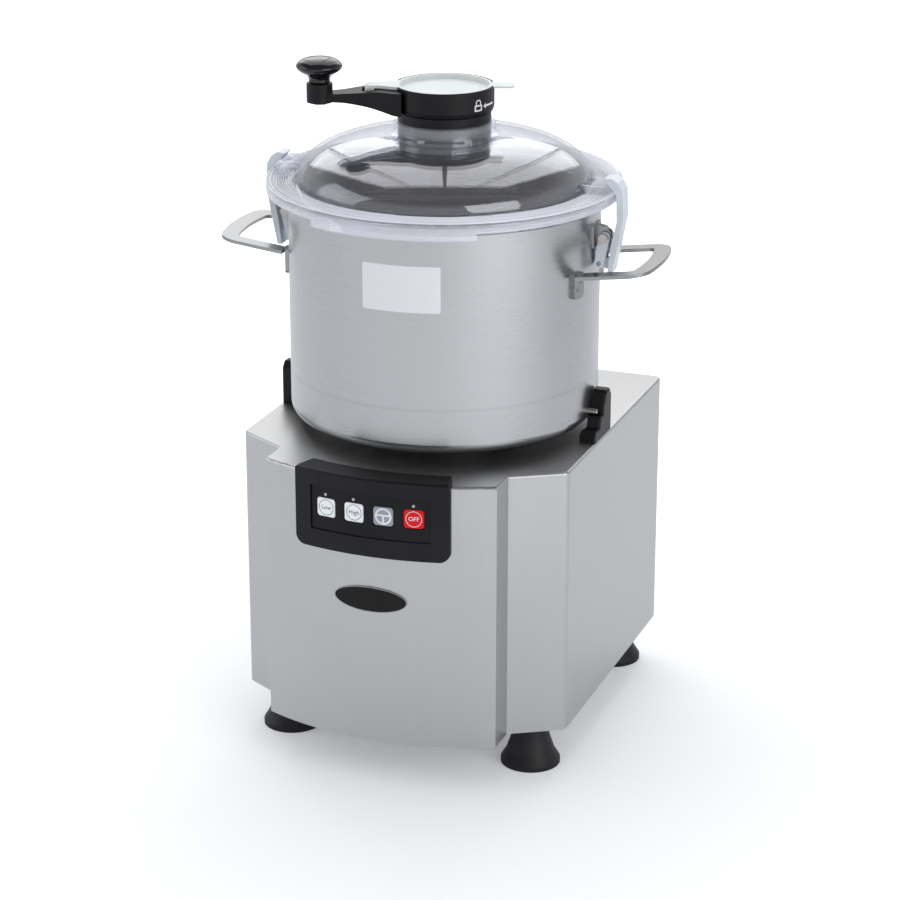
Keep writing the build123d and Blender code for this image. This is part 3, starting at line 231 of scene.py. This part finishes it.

# %% [markdown]
# ## Brushed steel
# Satin stainless steel is a mirror scratched in one direction. Long, thin noise gives the scratches:
# it is squeezed across the grain and stretched along it. The same noise moves the roughness and a
# very shallow bump, and a broad cloudy noise keeps large sheets from looking printed. The bowl also has
# the faint line of its weld, and its inside is painted darker: painted shade for the hollow under the lid.


# %% Brushed steel recipe
def brushed(name, grain, tone, roughness=0.34, depth=0.000006, contrast=0.04, weld_z=None, shade_hollow=None):
    """grain is the noise scale along x, y and z, small along the brushing; shade_hollow is the radius and
    the height within which a face is the inner one, which is painted darker as painted shade."""
    f = Finish(name)
    fine = f.noise(grain, 3.0, 0.6)
    coarse = f.noise([g * 0.21 for g in grain])
    cloud = f.noise((9, 9, 9))
    streak = fine * 0.6 + coarse * 0.4
    patch = (streak * 0.6 + cloud * 0.4).band(0.25, 0.75)
    colour = f.mix(patch, shaded(tone, 1 - contrast), shaded(tone, 1 + contrast))
    if weld_z:
        height = f.place().split()[2]
        line = (height - weld_z).math("ABSOLUTE").band(0.0022, 0.0006)
        colour = f.mix(line * 0.22, colour, shaded(tone, 0.72))
    # The bowl's inner wall and floor are painted darker here: painted shade in the hollow under the lid.
    if shade_hollow:
        reach, height = f.from_axis()
        inner = reach.math("LESS_THAN", shade_hollow[0]) * height.math("GREATER_THAN", shade_hollow[1])
        colour = f.mix(inner, colour, shaded(tone, 0.62))
    rough = (streak * 0.10 + cloud * 0.06 + (roughness - 0.08)).clamp()
    relief = f.bump(streak, 0.35, depth)
    return f.end(f.shader(Base_Color=colour, Metallic=1.0, Roughness=rough, Normal=relief))


print("recipe for brushed steel")

# %% [markdown]
# ## Steel parts
# The housing is brushed upright and the bowl round and round, so their grains are stretched along
# different axes. Bolts and screws are smoother and nearly even, and the blades are the brightest.

# %% Steel parts
BOWL_WELD_Z = 0.340
# Radius and height inside which the bowl's steel gets painted shade.
BOWL_SHADE_HOLLOW = (0.1391, 0.2984)
wear(brushed("housing_steel", (2600, 2600, 60), (0.50, 0.503, 0.508), 0.36), "housing_shell", "base_plate")
wear(brushed("bowl_steel", (26, 26, 3200), (0.465, 0.47, 0.48), 0.28, 0.000004, weld_z=BOWL_WELD_Z,
             shade_hollow=BOWL_SHADE_HOLLOW), "bowl", "bowl_pan")
handle_steel = wear(brushed("handle_steel", (900, 60, 900), (0.31, 0.313, 0.318), 0.28),
                    "handles", "latch_brackets")
wear(brushed("bolt_steel", (600, 600, 600), (0.40, 0.39, 0.37), 0.20),
     "bowl_pins", "latch_bolts", "lever_pin_right", "lever_pin_left", "base_plate_screws", "foot_studs",
     "lock_block_screws", "ball_plungers", "boss_screws", "motor_bolts", "cap_hinge_pin", "knob_pin")
wear(brushed("blade_steel", (700, 700, 60), (0.70, 0.71, 0.72), 0.20), "lower_blade", "upper_blade")
wear(brushed("shaft_steel", (60, 60, 2000), (0.52, 0.52, 0.53), 0.25), "drive_shaft", "shaft_bearings")
wear(brushed("cast_metal", (400, 400, 400), (0.45, 0.45, 0.46), 0.45, 0.00006),
     "drive_boss", "motor_frame", "lower_end_bell", "upper_end_bell")

# %% [markdown]
# ## Moulded plastic and rubber
# Moulded parts are nearly one colour. What makes them look real is a fine spark-eroded grain in the
# bump, a slightly uneven gloss, and a trace of dust in the tone, which `mottle` weakens on parts that
# are kept clean.


# %% Moulded recipe
def moulded(name, tone, roughness, grain=0.00002, grain_scale=1800.0, mottle=1.0, **extra):
    f = Finish(name)
    texture = f.noise((grain_scale,) * 3, 2.0, 0.6)
    cloud = f.noise((25, 25, 25), 3.0, 0.55)
    light = shaded(tone, 1 + 0.12 * mottle, 0.002 * mottle)
    colour = f.mix(cloud.band(0.35, 0.7), shaded(tone, 1 - 0.07 * mottle), light)
    rough = (texture * 0.08 + cloud * 0.08 + (roughness - 0.08)).clamp()
    relief = f.bump(texture, 0.35, grain)
    return f.end(f.shader(Base_Color=colour, Roughness=rough, Normal=relief, **extra))


print("recipe for moulded parts")

# %% [markdown]
# ## Black parts
# Black plastic on white ground easily turns grey, because it mirrors the bright room. A low specular
# level keeps it deep, and only the knob is polished, with a thin coat.

# %% Black parts
wear(moulded("black_plastic", (0.0045, 0.0045, 0.006), 0.42, Specular_IOR_Level=0.24),
     "control_bezel", "lock_blocks", "crank", "cable_gland", "cooling_fan", "fan_cover", "blade_hub",
     "blade_spacer", "blade_nut")
wear(moulded("scraper_plastic", (0.012, 0.012, 0.014), 0.42), "scraper_frame")
wear(moulded("panel_film", (0.004, 0.004, 0.006), 0.32, 0.000006, Specular_IOR_Level=0.2), "key_panel")
wear(moulded("knob_plastic", (0.006, 0.006, 0.008), 0.14, 0.000004, 900.0, Coat_Weight=0.15,
             Coat_Roughness=0.06, Specular_IOR_Level=0.4), "crank_knob")
wear(moulded("foot_rubber", (0.007, 0.007, 0.009), 0.5, 0.00003, Specular_IOR_Level=0.36),
     "feet", "shaft_seal")

# %% [markdown]
# ## Pale parts, keys and inner parts
# The latch levers are a pale blue-grey moulding, the keys are white, grey and red, and the seal and the
# wipers are soft rubber. The parts inside the base are seen only through gaps, but each still has the
# finish of what it is: copper windings, a dull core, a green board.

# %% Pale parts, keys and inner parts
wear(moulded("seal_rubber", (0.55, 0.57, 0.60), 0.5), "lid_seal")
wear(moulded("wiper_soft", (0.80, 0.81, 0.81), 0.5), "scraper_wipers")
wear(moulded("latch_plastic", (0.66, 0.71, 0.77), 0.34, 0.000008, mottle=0.4),
     "latch_lever_right", "latch_lever_left", "latch_link_right", "latch_link_left")
wear(moulded("key_white", (0.90, 0.93, 0.96), 0.38, 0.000006, mottle=0.3), "key_low", "key_high")
wear(moulded("key_grey", (0.30, 0.33, 0.38), 0.36, 0.000006, mottle=0.3), "key_pulse")
wear(moulded("key_red", (0.66, 0.006, 0.010), 0.36, 0.000006, mottle=0.3, Specular_IOR_Level=0.25),
     "key_off")
wear(moulded("led_lens", (0.42, 0.42, 0.44), 0.2, 0.000002), "indicator_lights")
wear(moulded("board_green", (0.02, 0.14, 0.06), 0.5), "control_board")
wear(moulded("white_plastic", (0.72, 0.72, 0.70), 0.45), "key_switches", "run_capacitor", "motor_relay")
wear(moulded("copper", (0.45, 0.16, 0.05), 0.35, 0.00008, 500.0, Metallic=0.8), "stator_windings")
wear(moulded("core_steel", (0.10, 0.10, 0.11), 0.5, 0.00005, 700.0, Metallic=0.6),
     "stator_core", "rotor_core")

# %% [markdown]
# ## Clear lid
# The lid is moulded from clear polycarbonate. Full refraction would be the obvious way, but a thin wall
# hardly bends what is behind it, so most of the wall is plain see-through. Its gloss is a mirror whose
# share grows towards a glancing view, as Schlick's rule says. The thick flange and its ears do bend
# light, so more real refraction is mixed in there, by the distance from the axis.

# %% Clear lid
DOME_EDGE = (0.1325, 0.1365)


def clear_plastic():
    f = Finish("lid_clear")
    flange = f.from_axis()[0].band(*DOME_EDGE)
    glance = f.node("ShaderNodeLayerWeight", None, {"Blend": 0.5}, "Facing")
    shine = glance.math("POWER", 5.0) * 0.85 + 0.085
    tint = f.mix(glance.band(0.45, 0.95), (0.93, 0.94, 1.0), (0.72, 0.74, 0.88))
    ripple = f.bump(f.noise((45, 45, 45), 1.0, 0.4), 0.10, 0.0001)
    open_air = f.node("ShaderNodeBsdfTransparent", None, {"Color": (0.955, 0.96, 0.99)})
    thick = f.shader(Base_Color=tint, Roughness=0.02, Transmission_Weight=0.50, IOR=1.45)
    wall = f.node("ShaderNodeMixShader", None, {0: flange * 0.42 + 0.06, 1: open_air, 2: thick})
    mirror = f.shader(Base_Color=(0.97, 0.975, 1.0), Metallic=1.0, Roughness=0.02, Normal=ripple)
    return f.end(f.node("ShaderNodeMixShader", None, {0: shine, 1: wall, 2: mirror}))


wear(clear_plastic(), "lid")

# %% [markdown]
# ## Milky cap
# The cap over the feed opening is a soft, milky moulding: it passes a little light and scatters the
# rest. Subsurface scattering softens its thin rim, and a faint cloud keeps the disc from looking cut out.


# %% Milky cap
def milky_plastic():
    f = Finish("cap_soft")
    cloud = f.noise((60, 60, 60), 3.0, 0.5)
    tint = f.mix(cloud.band(0.3, 0.7), (0.66, 0.715, 0.715), (0.70, 0.755, 0.755))
    return f.end(f.shader(Base_Color=tint, Roughness=0.32, Transmission_Weight=0.06, IOR=1.42,
                          Subsurface_Weight=0.25, Subsurface_Scale=0.006))


wear(milky_plastic(), "feed_cap")

# %% [markdown]
# ## Flat art
# Prints, plates and badges start as flat art, in millimetres. An outline is a closed loop of points,
# worked out from a size and a radius, so that a plate can be resized without drawing it again.


# %% Outlines
def rounded(width, height, radius, steps=6):
    """A rounded rectangle about the middle."""
    spots = []
    for sx, sy, start in ((1, 1, 0), (-1, 1, 90), (-1, -1, 180), (1, -1, 270)):
        for i in range(steps + 1):
            turn = math.radians(start + 90 * i / steps)
            spots.append((sx * (width / 2 - radius) + radius * math.cos(turn),
                          sy * (height / 2 - radius) + radius * math.sin(turn)))
    return spots


def oval(half_width, half_height, steps=64):
    """An ellipse about the middle."""
    return [(half_width * math.cos(math.tau * i / steps), half_height * math.sin(math.tau * i / steps))
            for i in range(steps)]


print("a plate's outline has", len(rounded(70, 40, 2)), "points")

# %% [markdown]
# ## From outlines and words to flat meshes
# A filled 2-D curve turns loops into a face with holes, and words are a text object. Both become plain
# meshes at once, because a curve can't be sliced and laid on a wall.


# %% Flat meshes
def to_mesh(curve):
    """A curve or text as a plain mesh."""
    carrier = bpy.data.objects.new("carrier", curve)
    bpy.context.scene.collection.objects.link(carrier)
    bpy.context.view_layer.update()
    mesh = bpy.data.meshes.new_from_object(carrier.evaluated_get(bpy.context.evaluated_depsgraph_get()))
    bpy.data.objects.remove(carrier)
    return mesh


def filled(loops):
    """A flat mesh from closed loops; a loop inside another is a hole."""
    curve = bpy.data.curves.new("art", "CURVE")
    curve.dimensions = "2D"
    curve.fill_mode = "BOTH"
    for loop in loops:
        spline = curve.splines.new("POLY")
        spline.points.add(len(loop) - 1)
        for point, (x, y) in zip(spline.points, loop):
            point.co = (x, y, 0, 1)
        spline.use_cyclic_u = True
    return to_mesh(curve)


def lettered(words, height):
    """Plain letters as a flat mesh, centred."""
    curve = bpy.data.curves.new("words", "FONT")
    curve.body = words
    curve.size = height
    curve.align_x = "CENTER"
    curve.align_y = "CENTER"
    curve.resolution_u = 3
    return to_mesh(curve)


print("flat meshes are made in millimetres")

# %% [markdown]
# ## Laying flat art on a curved wall
# Flat faces can't bend, so the art is first sliced into narrow strips. Then each corner is moved onto
# the wall by a rule that takes its flat place and returns its real one, and a thin Solidify gives the
# sheet a real thickness. The faces are checked against the wall's outward side before that.

# %% Laying art
STRIP = 1.5
EDGE_ON = 1e-12


def laid(name, mesh, wrap, body, material, thickness=0.06):
    """Slice flat art, lay it on a wall, thicken it and let it ride on a body."""
    shape = bmesh.new()
    shape.from_mesh(mesh)
    wide = max(v.co.x for v in shape.verts)
    cut = math.floor(min(v.co.x for v in shape.verts) / STRIP) * STRIP
    while cut < wide:
        cut += STRIP
        whole = [*shape.verts, *shape.edges, *shape.faces]
        bmesh.ops.bisect_plane(shape, geom=whole, plane_co=(cut, 0, 0), plane_no=(1, 0, 0))
    bmesh.ops.triangulate(shape, faces=shape.faces)
    for v in shape.verts:
        v.co = wrap(v.co.x, v.co.y)
    middle = wrap(0.0, 0.0)
    outward = (wrap(1.0, 0.0) - middle).cross(wrap(0.0, 1.0) - middle)
    shape.normal_update()
    for face in shape.faces:
        if face.normal.dot(outward) < -EDGE_ON:
            face.normal_flip()
    made = bpy.data.meshes.new(name)
    shape.to_mesh(made)
    shape.free()
    made.materials.append(material)
    piece = bpy.data.objects.new(name, made)
    bpy.context.scene.collection.objects.link(piece)
    skin = piece.modifiers.new("thickness", "SOLIDIFY")
    skin.thickness = thickness * MM
    skin.offset = 1.0
    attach(piece, body)
    return piece


print("art is sliced every", STRIP, "mm")

# %% [markdown]
# ## The machine's walls as rules
# Each rule knows one wall: the housing's bowed front, a round wall about the drive axis, and a flat face
# that stands square to a radius, which serves the keys and the handle tabs.

# %% Walls
FRONT_Y = -184.6
BOW_RADIUS = 254.4046
BOW_CENTRE_Y = FRONT_Y + BOW_RADIUS
FILM_GAP = 0.01


def on_bow(height, proud):
    """Onto the housing's bowed front."""
    def wrap(u, v):
        turn = u / BOW_RADIUS
        reach = BOW_RADIUS + proud
        return Vector((reach * math.sin(turn), BOW_CENTRE_Y - reach * math.cos(turn), height + v)) * MM
    return wrap


def on_round(radius, middle_angle, height):
    """Onto a round wall about the drive axis."""
    def wrap(u, v):
        turn = math.radians(middle_angle) + u / radius
        return Vector((radius * math.cos(turn), radius * math.sin(turn), height + v)) * MM
    return wrap


def on_flat(turn, reach, height, centre_y=0.0):
    """Onto a flat face square to a radius; turn is its angle from +X about a centre on the Y axis."""
    outward = Vector((math.cos(turn), math.sin(turn), 0))
    along = Vector((-math.sin(turn), math.cos(turn), 0))
    middle = outward * reach + Vector((0, centre_y, height))

    def wrap(u, v):
        return (middle + along * u + Vector((0, 0, v))) * MM
    return wrap


print("bow of radius", BOW_RADIUS, "mm about y =", round(BOW_CENTRE_Y, 2))

# %% [markdown]
# ## Badge and label, both bare
# The housing carries an oval badge and the bowl a rectangular label. Both are made as blank plates: a
# dark, slightly glossy oval in a thin bright rim, and a white film with rounded corners.

# %% Badge and label
BADGE_Z = 178.0
BADGE_HALF = (33.4, 11.2)
RIM_OUTER = (34.0, 11.75)
RIM_INNER = (33.3, 11.1)
LABEL_SIZE = (70.4, 41.3)
LABEL_CORNER = 2.0
LABEL_ANGLE = -85.1
LABEL_Z = 448.85
BOWL_RADIUS = 140.0
badge_black = moulded("badge_black", (0.006, 0.005, 0.005), 0.30, 0.000004, Specular_IOR_Level=0.2)
label_film = moulded("label_film", (0.78, 0.79, 0.83), 0.42, 0.000004, mottle=0.15)
front = on_bow(BADGE_Z, 2 * FILM_GAP)
bowl_front = on_round(BOWL_RADIUS + 2 * FILM_GAP, LABEL_ANGLE, LABEL_Z)
laid("badge", filled([oval(*BADGE_HALF)]), front, "base", badge_black, 0.9)
laid("badge_rim", filled([oval(*RIM_OUTER), oval(*RIM_INNER)]), front, "base", handle_steel, 1.1)
laid("label", filled([rounded(*LABEL_SIZE, LABEL_CORNER)]), bowl_front, "bowl", label_film, 0.12)
print("badge", [2 * v for v in RIM_OUTER], "mm, label", LABEL_SIZE, "mm")

# %% [markdown]
# ## Key legends
# The legends are printed on the keys: a thin ring with a word on the speed keys, a bold ring with a
# bar and a stem on the pulse key, and a ring with OFF on the stop key. Each rides on its own key, so it
# goes in when the key is pressed.

# %% Key legends
KEY_Z = 257.8
KEY_PITCH = 27.0
KEY_PROUD = 2.0
KEYS = ("key_low", "key_high", "key_pulse", "key_off")
print_dark = moulded("print_dark", (0.045, 0.055, 0.075), 0.5, 0.000002)
print_white = moulded("print_white", (0.80, 0.81, 0.83), 0.5, 0.000002)


def on_key(key):
    """Onto the flat face of a key, which stands square to the bowed front."""
    x = (KEYS.index(key) - 1.5) * KEY_PITCH
    turn = math.asin(x / BOW_RADIUS) - math.pi / 2
    return on_flat(turn, BOW_RADIUS + KEY_PROUD + FILM_GAP, KEY_Z, BOW_CENTRE_Y)


def bar(low_x, low_y, high_x, high_y):
    """A plain rectangle."""
    return [(low_x, low_y), (high_x, low_y), (high_x, high_y), (low_x, high_y)]


for key, word, ink in (("key_low", "Low", print_dark), ("key_high", "High", print_dark),
                       ("key_off", "OFF", print_white)):
    laid(key + "_ring", filled([oval(7.2, 7.2), oval(6.75, 6.75)]), on_key(key), key, ink)
    laid(key + "_word", lettered(word, 5.6), on_key(key), key, ink)
for part, loops, thickness in (("ring", [oval(7.6, 7.6), oval(5.9, 5.9)], 0.06),
                               ("bar", [bar(-6.2, 0.0, 6.2, 1.8)], 0.065),
                               ("stem", [bar(-0.9, -6.4, 0.9, 0.4)], 0.07)):
    laid("key_pulse_" + part, filled(loops), on_key("key_pulse"), "key_pulse", print_white, thickness)
print("legends on", ", ".join(KEYS))

# %% [markdown]
# ## Lock sign on the hub
# A small padlock and an arrow on the hub's side show which way the neck turns to lock. They are printed,
# so they are laid on the hub's round wall and ride on the crank.

# %% Lock sign
HUB_RADIUS = 44.2
LOCK_ANGLE = -27.2
ARROW_ANGLE = -8.0
bow = [(3.0, 0.0), (3.0, 2.6), (2.1, 4.4), (0.0, 5.0), (-2.1, 4.4), (-3.0, 2.6), (-3.0, 0.0),
       (-2.0, 0.0), (-2.0, 2.3), (-1.4, 3.5), (0.0, 4.0), (1.4, 3.5), (2.0, 2.3), (2.0, 0.0)]
arrow = [(-8.5, 0.0), (-5.2, 2.6), (-5.2, 0.9), (8.5, 0.9), (8.5, -0.9), (-5.2, -0.9), (-5.2, -2.6)]
for name, loops, angle, height in (
        ("lock_body", [rounded(8.6, 5.6, 0.6), rounded(5.8, 3.0, 0.3)], LOCK_ANGLE, 582.3),
        ("lock_shackle", [bow], LOCK_ANGLE, 584.9),
        ("lock_arrow", [arrow], ARROW_ANGLE, 583.2)):
    laid(name, filled(loops), on_round(HUB_RADIUS + FILM_GAP, angle, height), "crank", print_white)
print("lock sign on the hub, at", LOCK_ANGLE, "degrees")

# %% [markdown]
# ## Spot welds on the handle tabs
# Each handle ends in two tabs that are spot-welded to the bowl's wall, and every weld leaves a small
# dark ring. The rings are flat art too, laid on the flat face of each tab.

# %% Spot welds
HANDLE_ROOT_Z = 447.0
TAB_PROUD = 3.2
TAB_FACE = BOWL_RADIUS + TAB_PROUD + FILM_GAP
TAB_LEAN = 16.8
BOWL_TURN = 2.6
WELDS = ((2.6, -8.0), (-2.6, -14.5))
weld_steel = brushed("weld_steel", (500, 500, 500), (0.16, 0.15, 0.14), 0.35)


def ring_at(u, v, outer=1.7, inner=1.1):
    """A ring of two circles about a spot."""
    return [[(u + x, v + y) for x, y in oval(r, r, 24)] for r in (outer, inner)]


tab_angles = [side + lean + BOWL_TURN for side in (0, 180) for lean in (-TAB_LEAN, TAB_LEAN)]
for i, angle in enumerate(tab_angles):
    rings = [loop for spot in WELDS for loop in ring_at(*spot)]
    laid(f"weld_spots_{i}", filled(rings), on_flat(math.radians(angle), TAB_FACE, HANDLE_ROOT_Z), "bowl",
         weld_steel, 0.08)
print("spot welds on", len(tab_angles), "tabs")

# %% [markdown]
# ## A tree that makes rings
# The moulded flange has fine concentric ribs that stiffen it and catch the light as bright rings. One
# ring is a small profile swept round a circle, and Geometry Nodes repeat it at a steady pitch. The tree
# is written with the same wires as the materials, and its sizes are named inputs. The circles are made
# real before the sweep, because the scale of an instance would thicken its profile too. The tree ends
# in Realize Instances and Set Material, as every tree for the export does.

# %% Ring tree
RING_INPUTS = {"First radius": "NodeSocketFloat", "Pitch": "NodeSocketFloat", "Count": "NodeSocketInt",
               "Height": "NodeSocketFloat", "Thickness": "NodeSocketFloat", "Finish": "NodeSocketMaterial"}


def ring_tree():
    """Concentric rings about the drive axis."""
    tree = bpy.data.node_groups.new("flange ribs", "GeometryNodeTree")
    tree.interface.new_socket("Geometry", in_out="OUTPUT", socket_type="NodeSocketGeometry")
    for label, kind in RING_INPUTS.items():
        tree.interface.new_socket(label, in_out="INPUT", socket_type=kind)
    g = Graph(tree)
    sizes = g.node("NodeGroupInput", output=None)
    line = g.node("GeometryNodeMeshLine", None, {"Count": sizes["Count"]})
    reach = g.node("GeometryNodeInputIndex") * sizes["Pitch"] + sizes["First radius"]
    spot = g.node("ShaderNodeCombineXYZ", None, {"Z": sizes["Height"]})
    grow = g.node("ShaderNodeCombineXYZ", None, {"X": reach, "Y": reach, "Z": 1.0})
    spots = g.node("GeometryNodeSetPosition", None, {"Geometry": line, "Position": spot})
    circle = g.node("GeometryNodeCurvePrimitiveCircle", None, {"Resolution": 128, "Radius": 1.0})
    copies = g.node("GeometryNodeInstanceOnPoints", None, {
        "Points": spots, "Instance": circle, "Scale": grow})
    circles = g.node("GeometryNodeRealizeInstances", None, {0: copies})
    profile = g.node("GeometryNodeCurvePrimitiveCircle", None, {
        "Resolution": 8, "Radius": sizes["Thickness"]})
    swept = g.node("GeometryNodeCurveToMesh", None, {"Curve": circles, "Profile Curve": profile})
    real = g.node("GeometryNodeRealizeInstances", None, {0: swept})
    dressed = g.node("GeometryNodeSetMaterial", None, {"Geometry": real, "Material": sizes["Finish"]})
    g.node("NodeGroupOutput", None, {0: dressed})
    return tree


ring_maker = ring_tree()
print("ring tree of", len(ring_maker.nodes), "nodes")

# %% [markdown]
# ## Rings on the lid's flange
# The tree runs twice: eight fine rings on the inner part of the flange, and two stouter ones along its
# lip. Both get a pale opaque colour, a painted highlight for the light the clear ribs catch. The
# result of each run is kept as a plain mesh that rides on the lid, and its maker is removed.

# %% Flange rings
FLANGE_TOP = 0.5124
RING_LIFT = 0.0001
FLANGE_RINGS = {
    "flange_ribs": {"First radius": 0.1370, "Pitch": 0.0021, "Count": 8, "Thickness": 0.00028},
    "flange_lip_lines": {"First radius": 0.1552, "Pitch": 0.0032, "Count": 2, "Thickness": 0.00045}}
# Pale opaque colour on the clear lid's ribs: a painted highlight.
rib_edge = moulded("rib_edge", (0.84, 0.86, 0.93), 0.18, 0.000002, mottle=0.1)


def grown(name, tree, values, body):
    """Run a Geometry Nodes tree and keep its result as a plain mesh that rides on a body."""
    holder = bpy.data.objects.new(name + "_maker", bpy.data.meshes.new(name + "_maker"))
    bpy.context.scene.collection.objects.link(holder)
    maker = holder.modifiers.new("maker", "NODES")
    maker.node_group = tree
    for socket in tree.interface.items_tree:
        if socket.in_out == "INPUT":
            maker[socket.identifier] = values[socket.name]
    bpy.context.view_layer.update()
    mesh = bpy.data.meshes.new_from_object(holder.evaluated_get(bpy.context.evaluated_depsgraph_get()))
    bpy.data.objects.remove(holder)
    piece = bpy.data.objects.new(name, mesh)
    bpy.context.scene.collection.objects.link(piece)
    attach(piece, body)
    print(name, len(mesh.polygons), "faces")
    return piece


for name, sizes in FLANGE_RINGS.items():
    sizes = {**sizes, "Height": FLANGE_TOP + RING_LIFT, "Finish": rib_edge}
    rings = grown(name, ring_maker, sizes, "lid")

# %% [markdown]
# ## World
# The room is white where the camera looks, also through the lid. What steel and gloss mirror is a
# quieter room, a little darker in front and dim overhead, because a metal shows its form only when its
# surroundings aren't all alike. A third, even level lights the matt surfaces.

# %% World
MATT_LEVEL = 0.60
world = bpy.data.worlds.new("studio")
bpy.context.scene.world = world
world.use_nodes = True
w = Graph(world.node_tree)
ray = w.node("ShaderNodeLightPath", output=None)
_, y, z = w.node("ShaderNodeTexCoord", output="Generated").split()
mirrored_room = y.band(-0.85, 0.45, 0.64, 0.70) * z.band(0.30, 0.75, 1.0, 0.30)
mirrored = ray["Is Glossy Ray"]
room = (1 - mirrored) * MATT_LEVEL + mirrored * mirrored_room
straight = ray["Is Camera Ray"].math("MAXIMUM", ray["Is Transmission Ray"])
light = (1 - straight) * room + straight
shown = w.node("ShaderNodeBackground", None, {"Color": (1.0, 1.0, 1.0), "Strength": light})
w.node("ShaderNodeOutputWorld", None, {0: shown})
print("world tree of", len(world.node_tree.nodes), "nodes")

# %% [markdown]
# ## Floor
# The floor is pale and matt, and takes the machine's soft shadow. To look white it could be lit harder,
# but that light would fall on the machine too. Instead it glows a little for rays that come from the
# camera or through the lid, more with distance, and faintly for mirrored rays, more in front of the
# machine than behind it.

# %% Floor
FLOOR_RADIUS = 9.0
FLOOR_DROP = 0.0002


def floor_finish():
    f = Finish("floor_white")
    ray = f.node("ShaderNodeLightPath", output=None)
    straight = ray["Is Camera Ray"].math("MAXIMUM", ray["Is Transmission Ray"])
    x, y, _ = f.place().split()
    far = (x * x + y * y).math("SQRT").band(0.35, 1.5)
    front = (x * math.sin(AZIMUTH) - y * math.cos(AZIMUTH)).band(0.0, 1.4)
    strength = straight * (far * 0.62 + 0.22) + ray["Is Glossy Ray"] * (front * 0.26 + 0.02)
    tint = f.mix(f.noise((3, 3, 3)), (0.80, 0.82, 0.85), (0.82, 0.83, 0.86))
    matt = f.node("ShaderNodeBsdfDiffuse", None, {"Color": tint})
    glow = f.node("ShaderNodeEmission", None, {"Color": (1.0, 1.0, 1.0), "Strength": strength})
    return f.end(f.node("ShaderNodeAddShader", None, {0: matt, 1: glow}))


floor_mesh = bpy.data.meshes.new("floor")
shape = bmesh.new()
bmesh.ops.create_circle(shape, cap_ends=True, segments=96, radius=FLOOR_RADIUS)
shape.to_mesh(floor_mesh)
shape.free()
floor_mesh.materials.append(floor_finish())
floor = bpy.data.objects.new("floor", floor_mesh)
floor.location.z = -FLOOR_DROP
bpy.context.scene.collection.objects.link(floor)
print("floor of radius", FLOOR_RADIUS, "m")

# %% [markdown]
# ## Side lamps
# Two large soft lamps stand left and right, the right one stronger, so the machine's sides differ. A
# large lamp gives soft shadows and broad highlights. They aim at the middle of the machine.


# %% Side lamps
def softbox(name, watts, width, height, place, axes, tint=(1, 1, 1)):
    """A rectangular soft lamp; axes are its width, its height and the way its back faces."""
    data = bpy.data.lights.new(name, "AREA")
    data.shape = "RECTANGLE"
    data.size = width
    data.size_y = height
    data.energy = watts
    data.color = tint
    lamp = bpy.data.objects.new(name, data)
    bpy.context.scene.collection.objects.link(lamp)
    lamp.matrix_world = Matrix.Translation(place) @ Matrix(axes).transposed().to_4x4()
    lamp.visible_camera = False
    return lamp


def aimed(place, aim):
    """Axes of a lamp that stands level and looks at a spot."""
    back = (Vector(place) - Vector(aim)).normalized()
    across = Vector((0, 0, 1)).cross(back).normalized()
    return across, back.cross(across), back


SIDE_SIZE = 2.2
SIDE_AIM = (0, 0, 0.3)
for name, watts, place, tint in (("lamp_left", 16, (-2.5, -0.9, 1.4), (0.93, 0.96, 1.0)),
                                 ("lamp_right", 32, (2.5, -1.5, 1.3), (0.99, 0.99, 1.0))):
    softbox(name, watts, SIDE_SIZE, SIDE_SIZE, place, aimed(place, SIDE_AIM), tint)
    print(name, watts, "W")

# %% [markdown]
# ## A bank of panels behind
# Four long panels lean over the machine from behind. They light its top, and the dome mirrors them as
# a fan of bright strips with dark gaps between, which is what tells the eye that it is clear and curved.

# %% Lamp bank
BANK_SLOPE = math.radians(50)
BANK_BACK = 1.23
BANK_HEIGHT = 2.15
PANELS = 4
PANEL_PITCH = 0.62
PANEL_GAP = 0.045
PANEL_LENGTH = 2.7
PANEL_WATTS = 8.6
behind = Vector((-math.sin(AZIMUTH), math.cos(AZIMUTH), 0))
down_back = behind * math.cos(BANK_SLOPE) - Vector((0, 0, 1)) * math.sin(BANK_SLOPE)
for i in range(PANELS):
    shift = (i - (PANELS - 1) / 2) * PANEL_PITCH
    middle = behind * BANK_BACK + right * shift + Vector((0, 0, BANK_HEIGHT))
    softbox(f"lamp_bank_{i}", PANEL_WATTS, PANEL_PITCH - PANEL_GAP, PANEL_LENGTH, middle,
            (right, down_back, right.cross(down_back)))
print("lamp bank of", PANELS, "panels,", PANELS * PANEL_WATTS, "W")
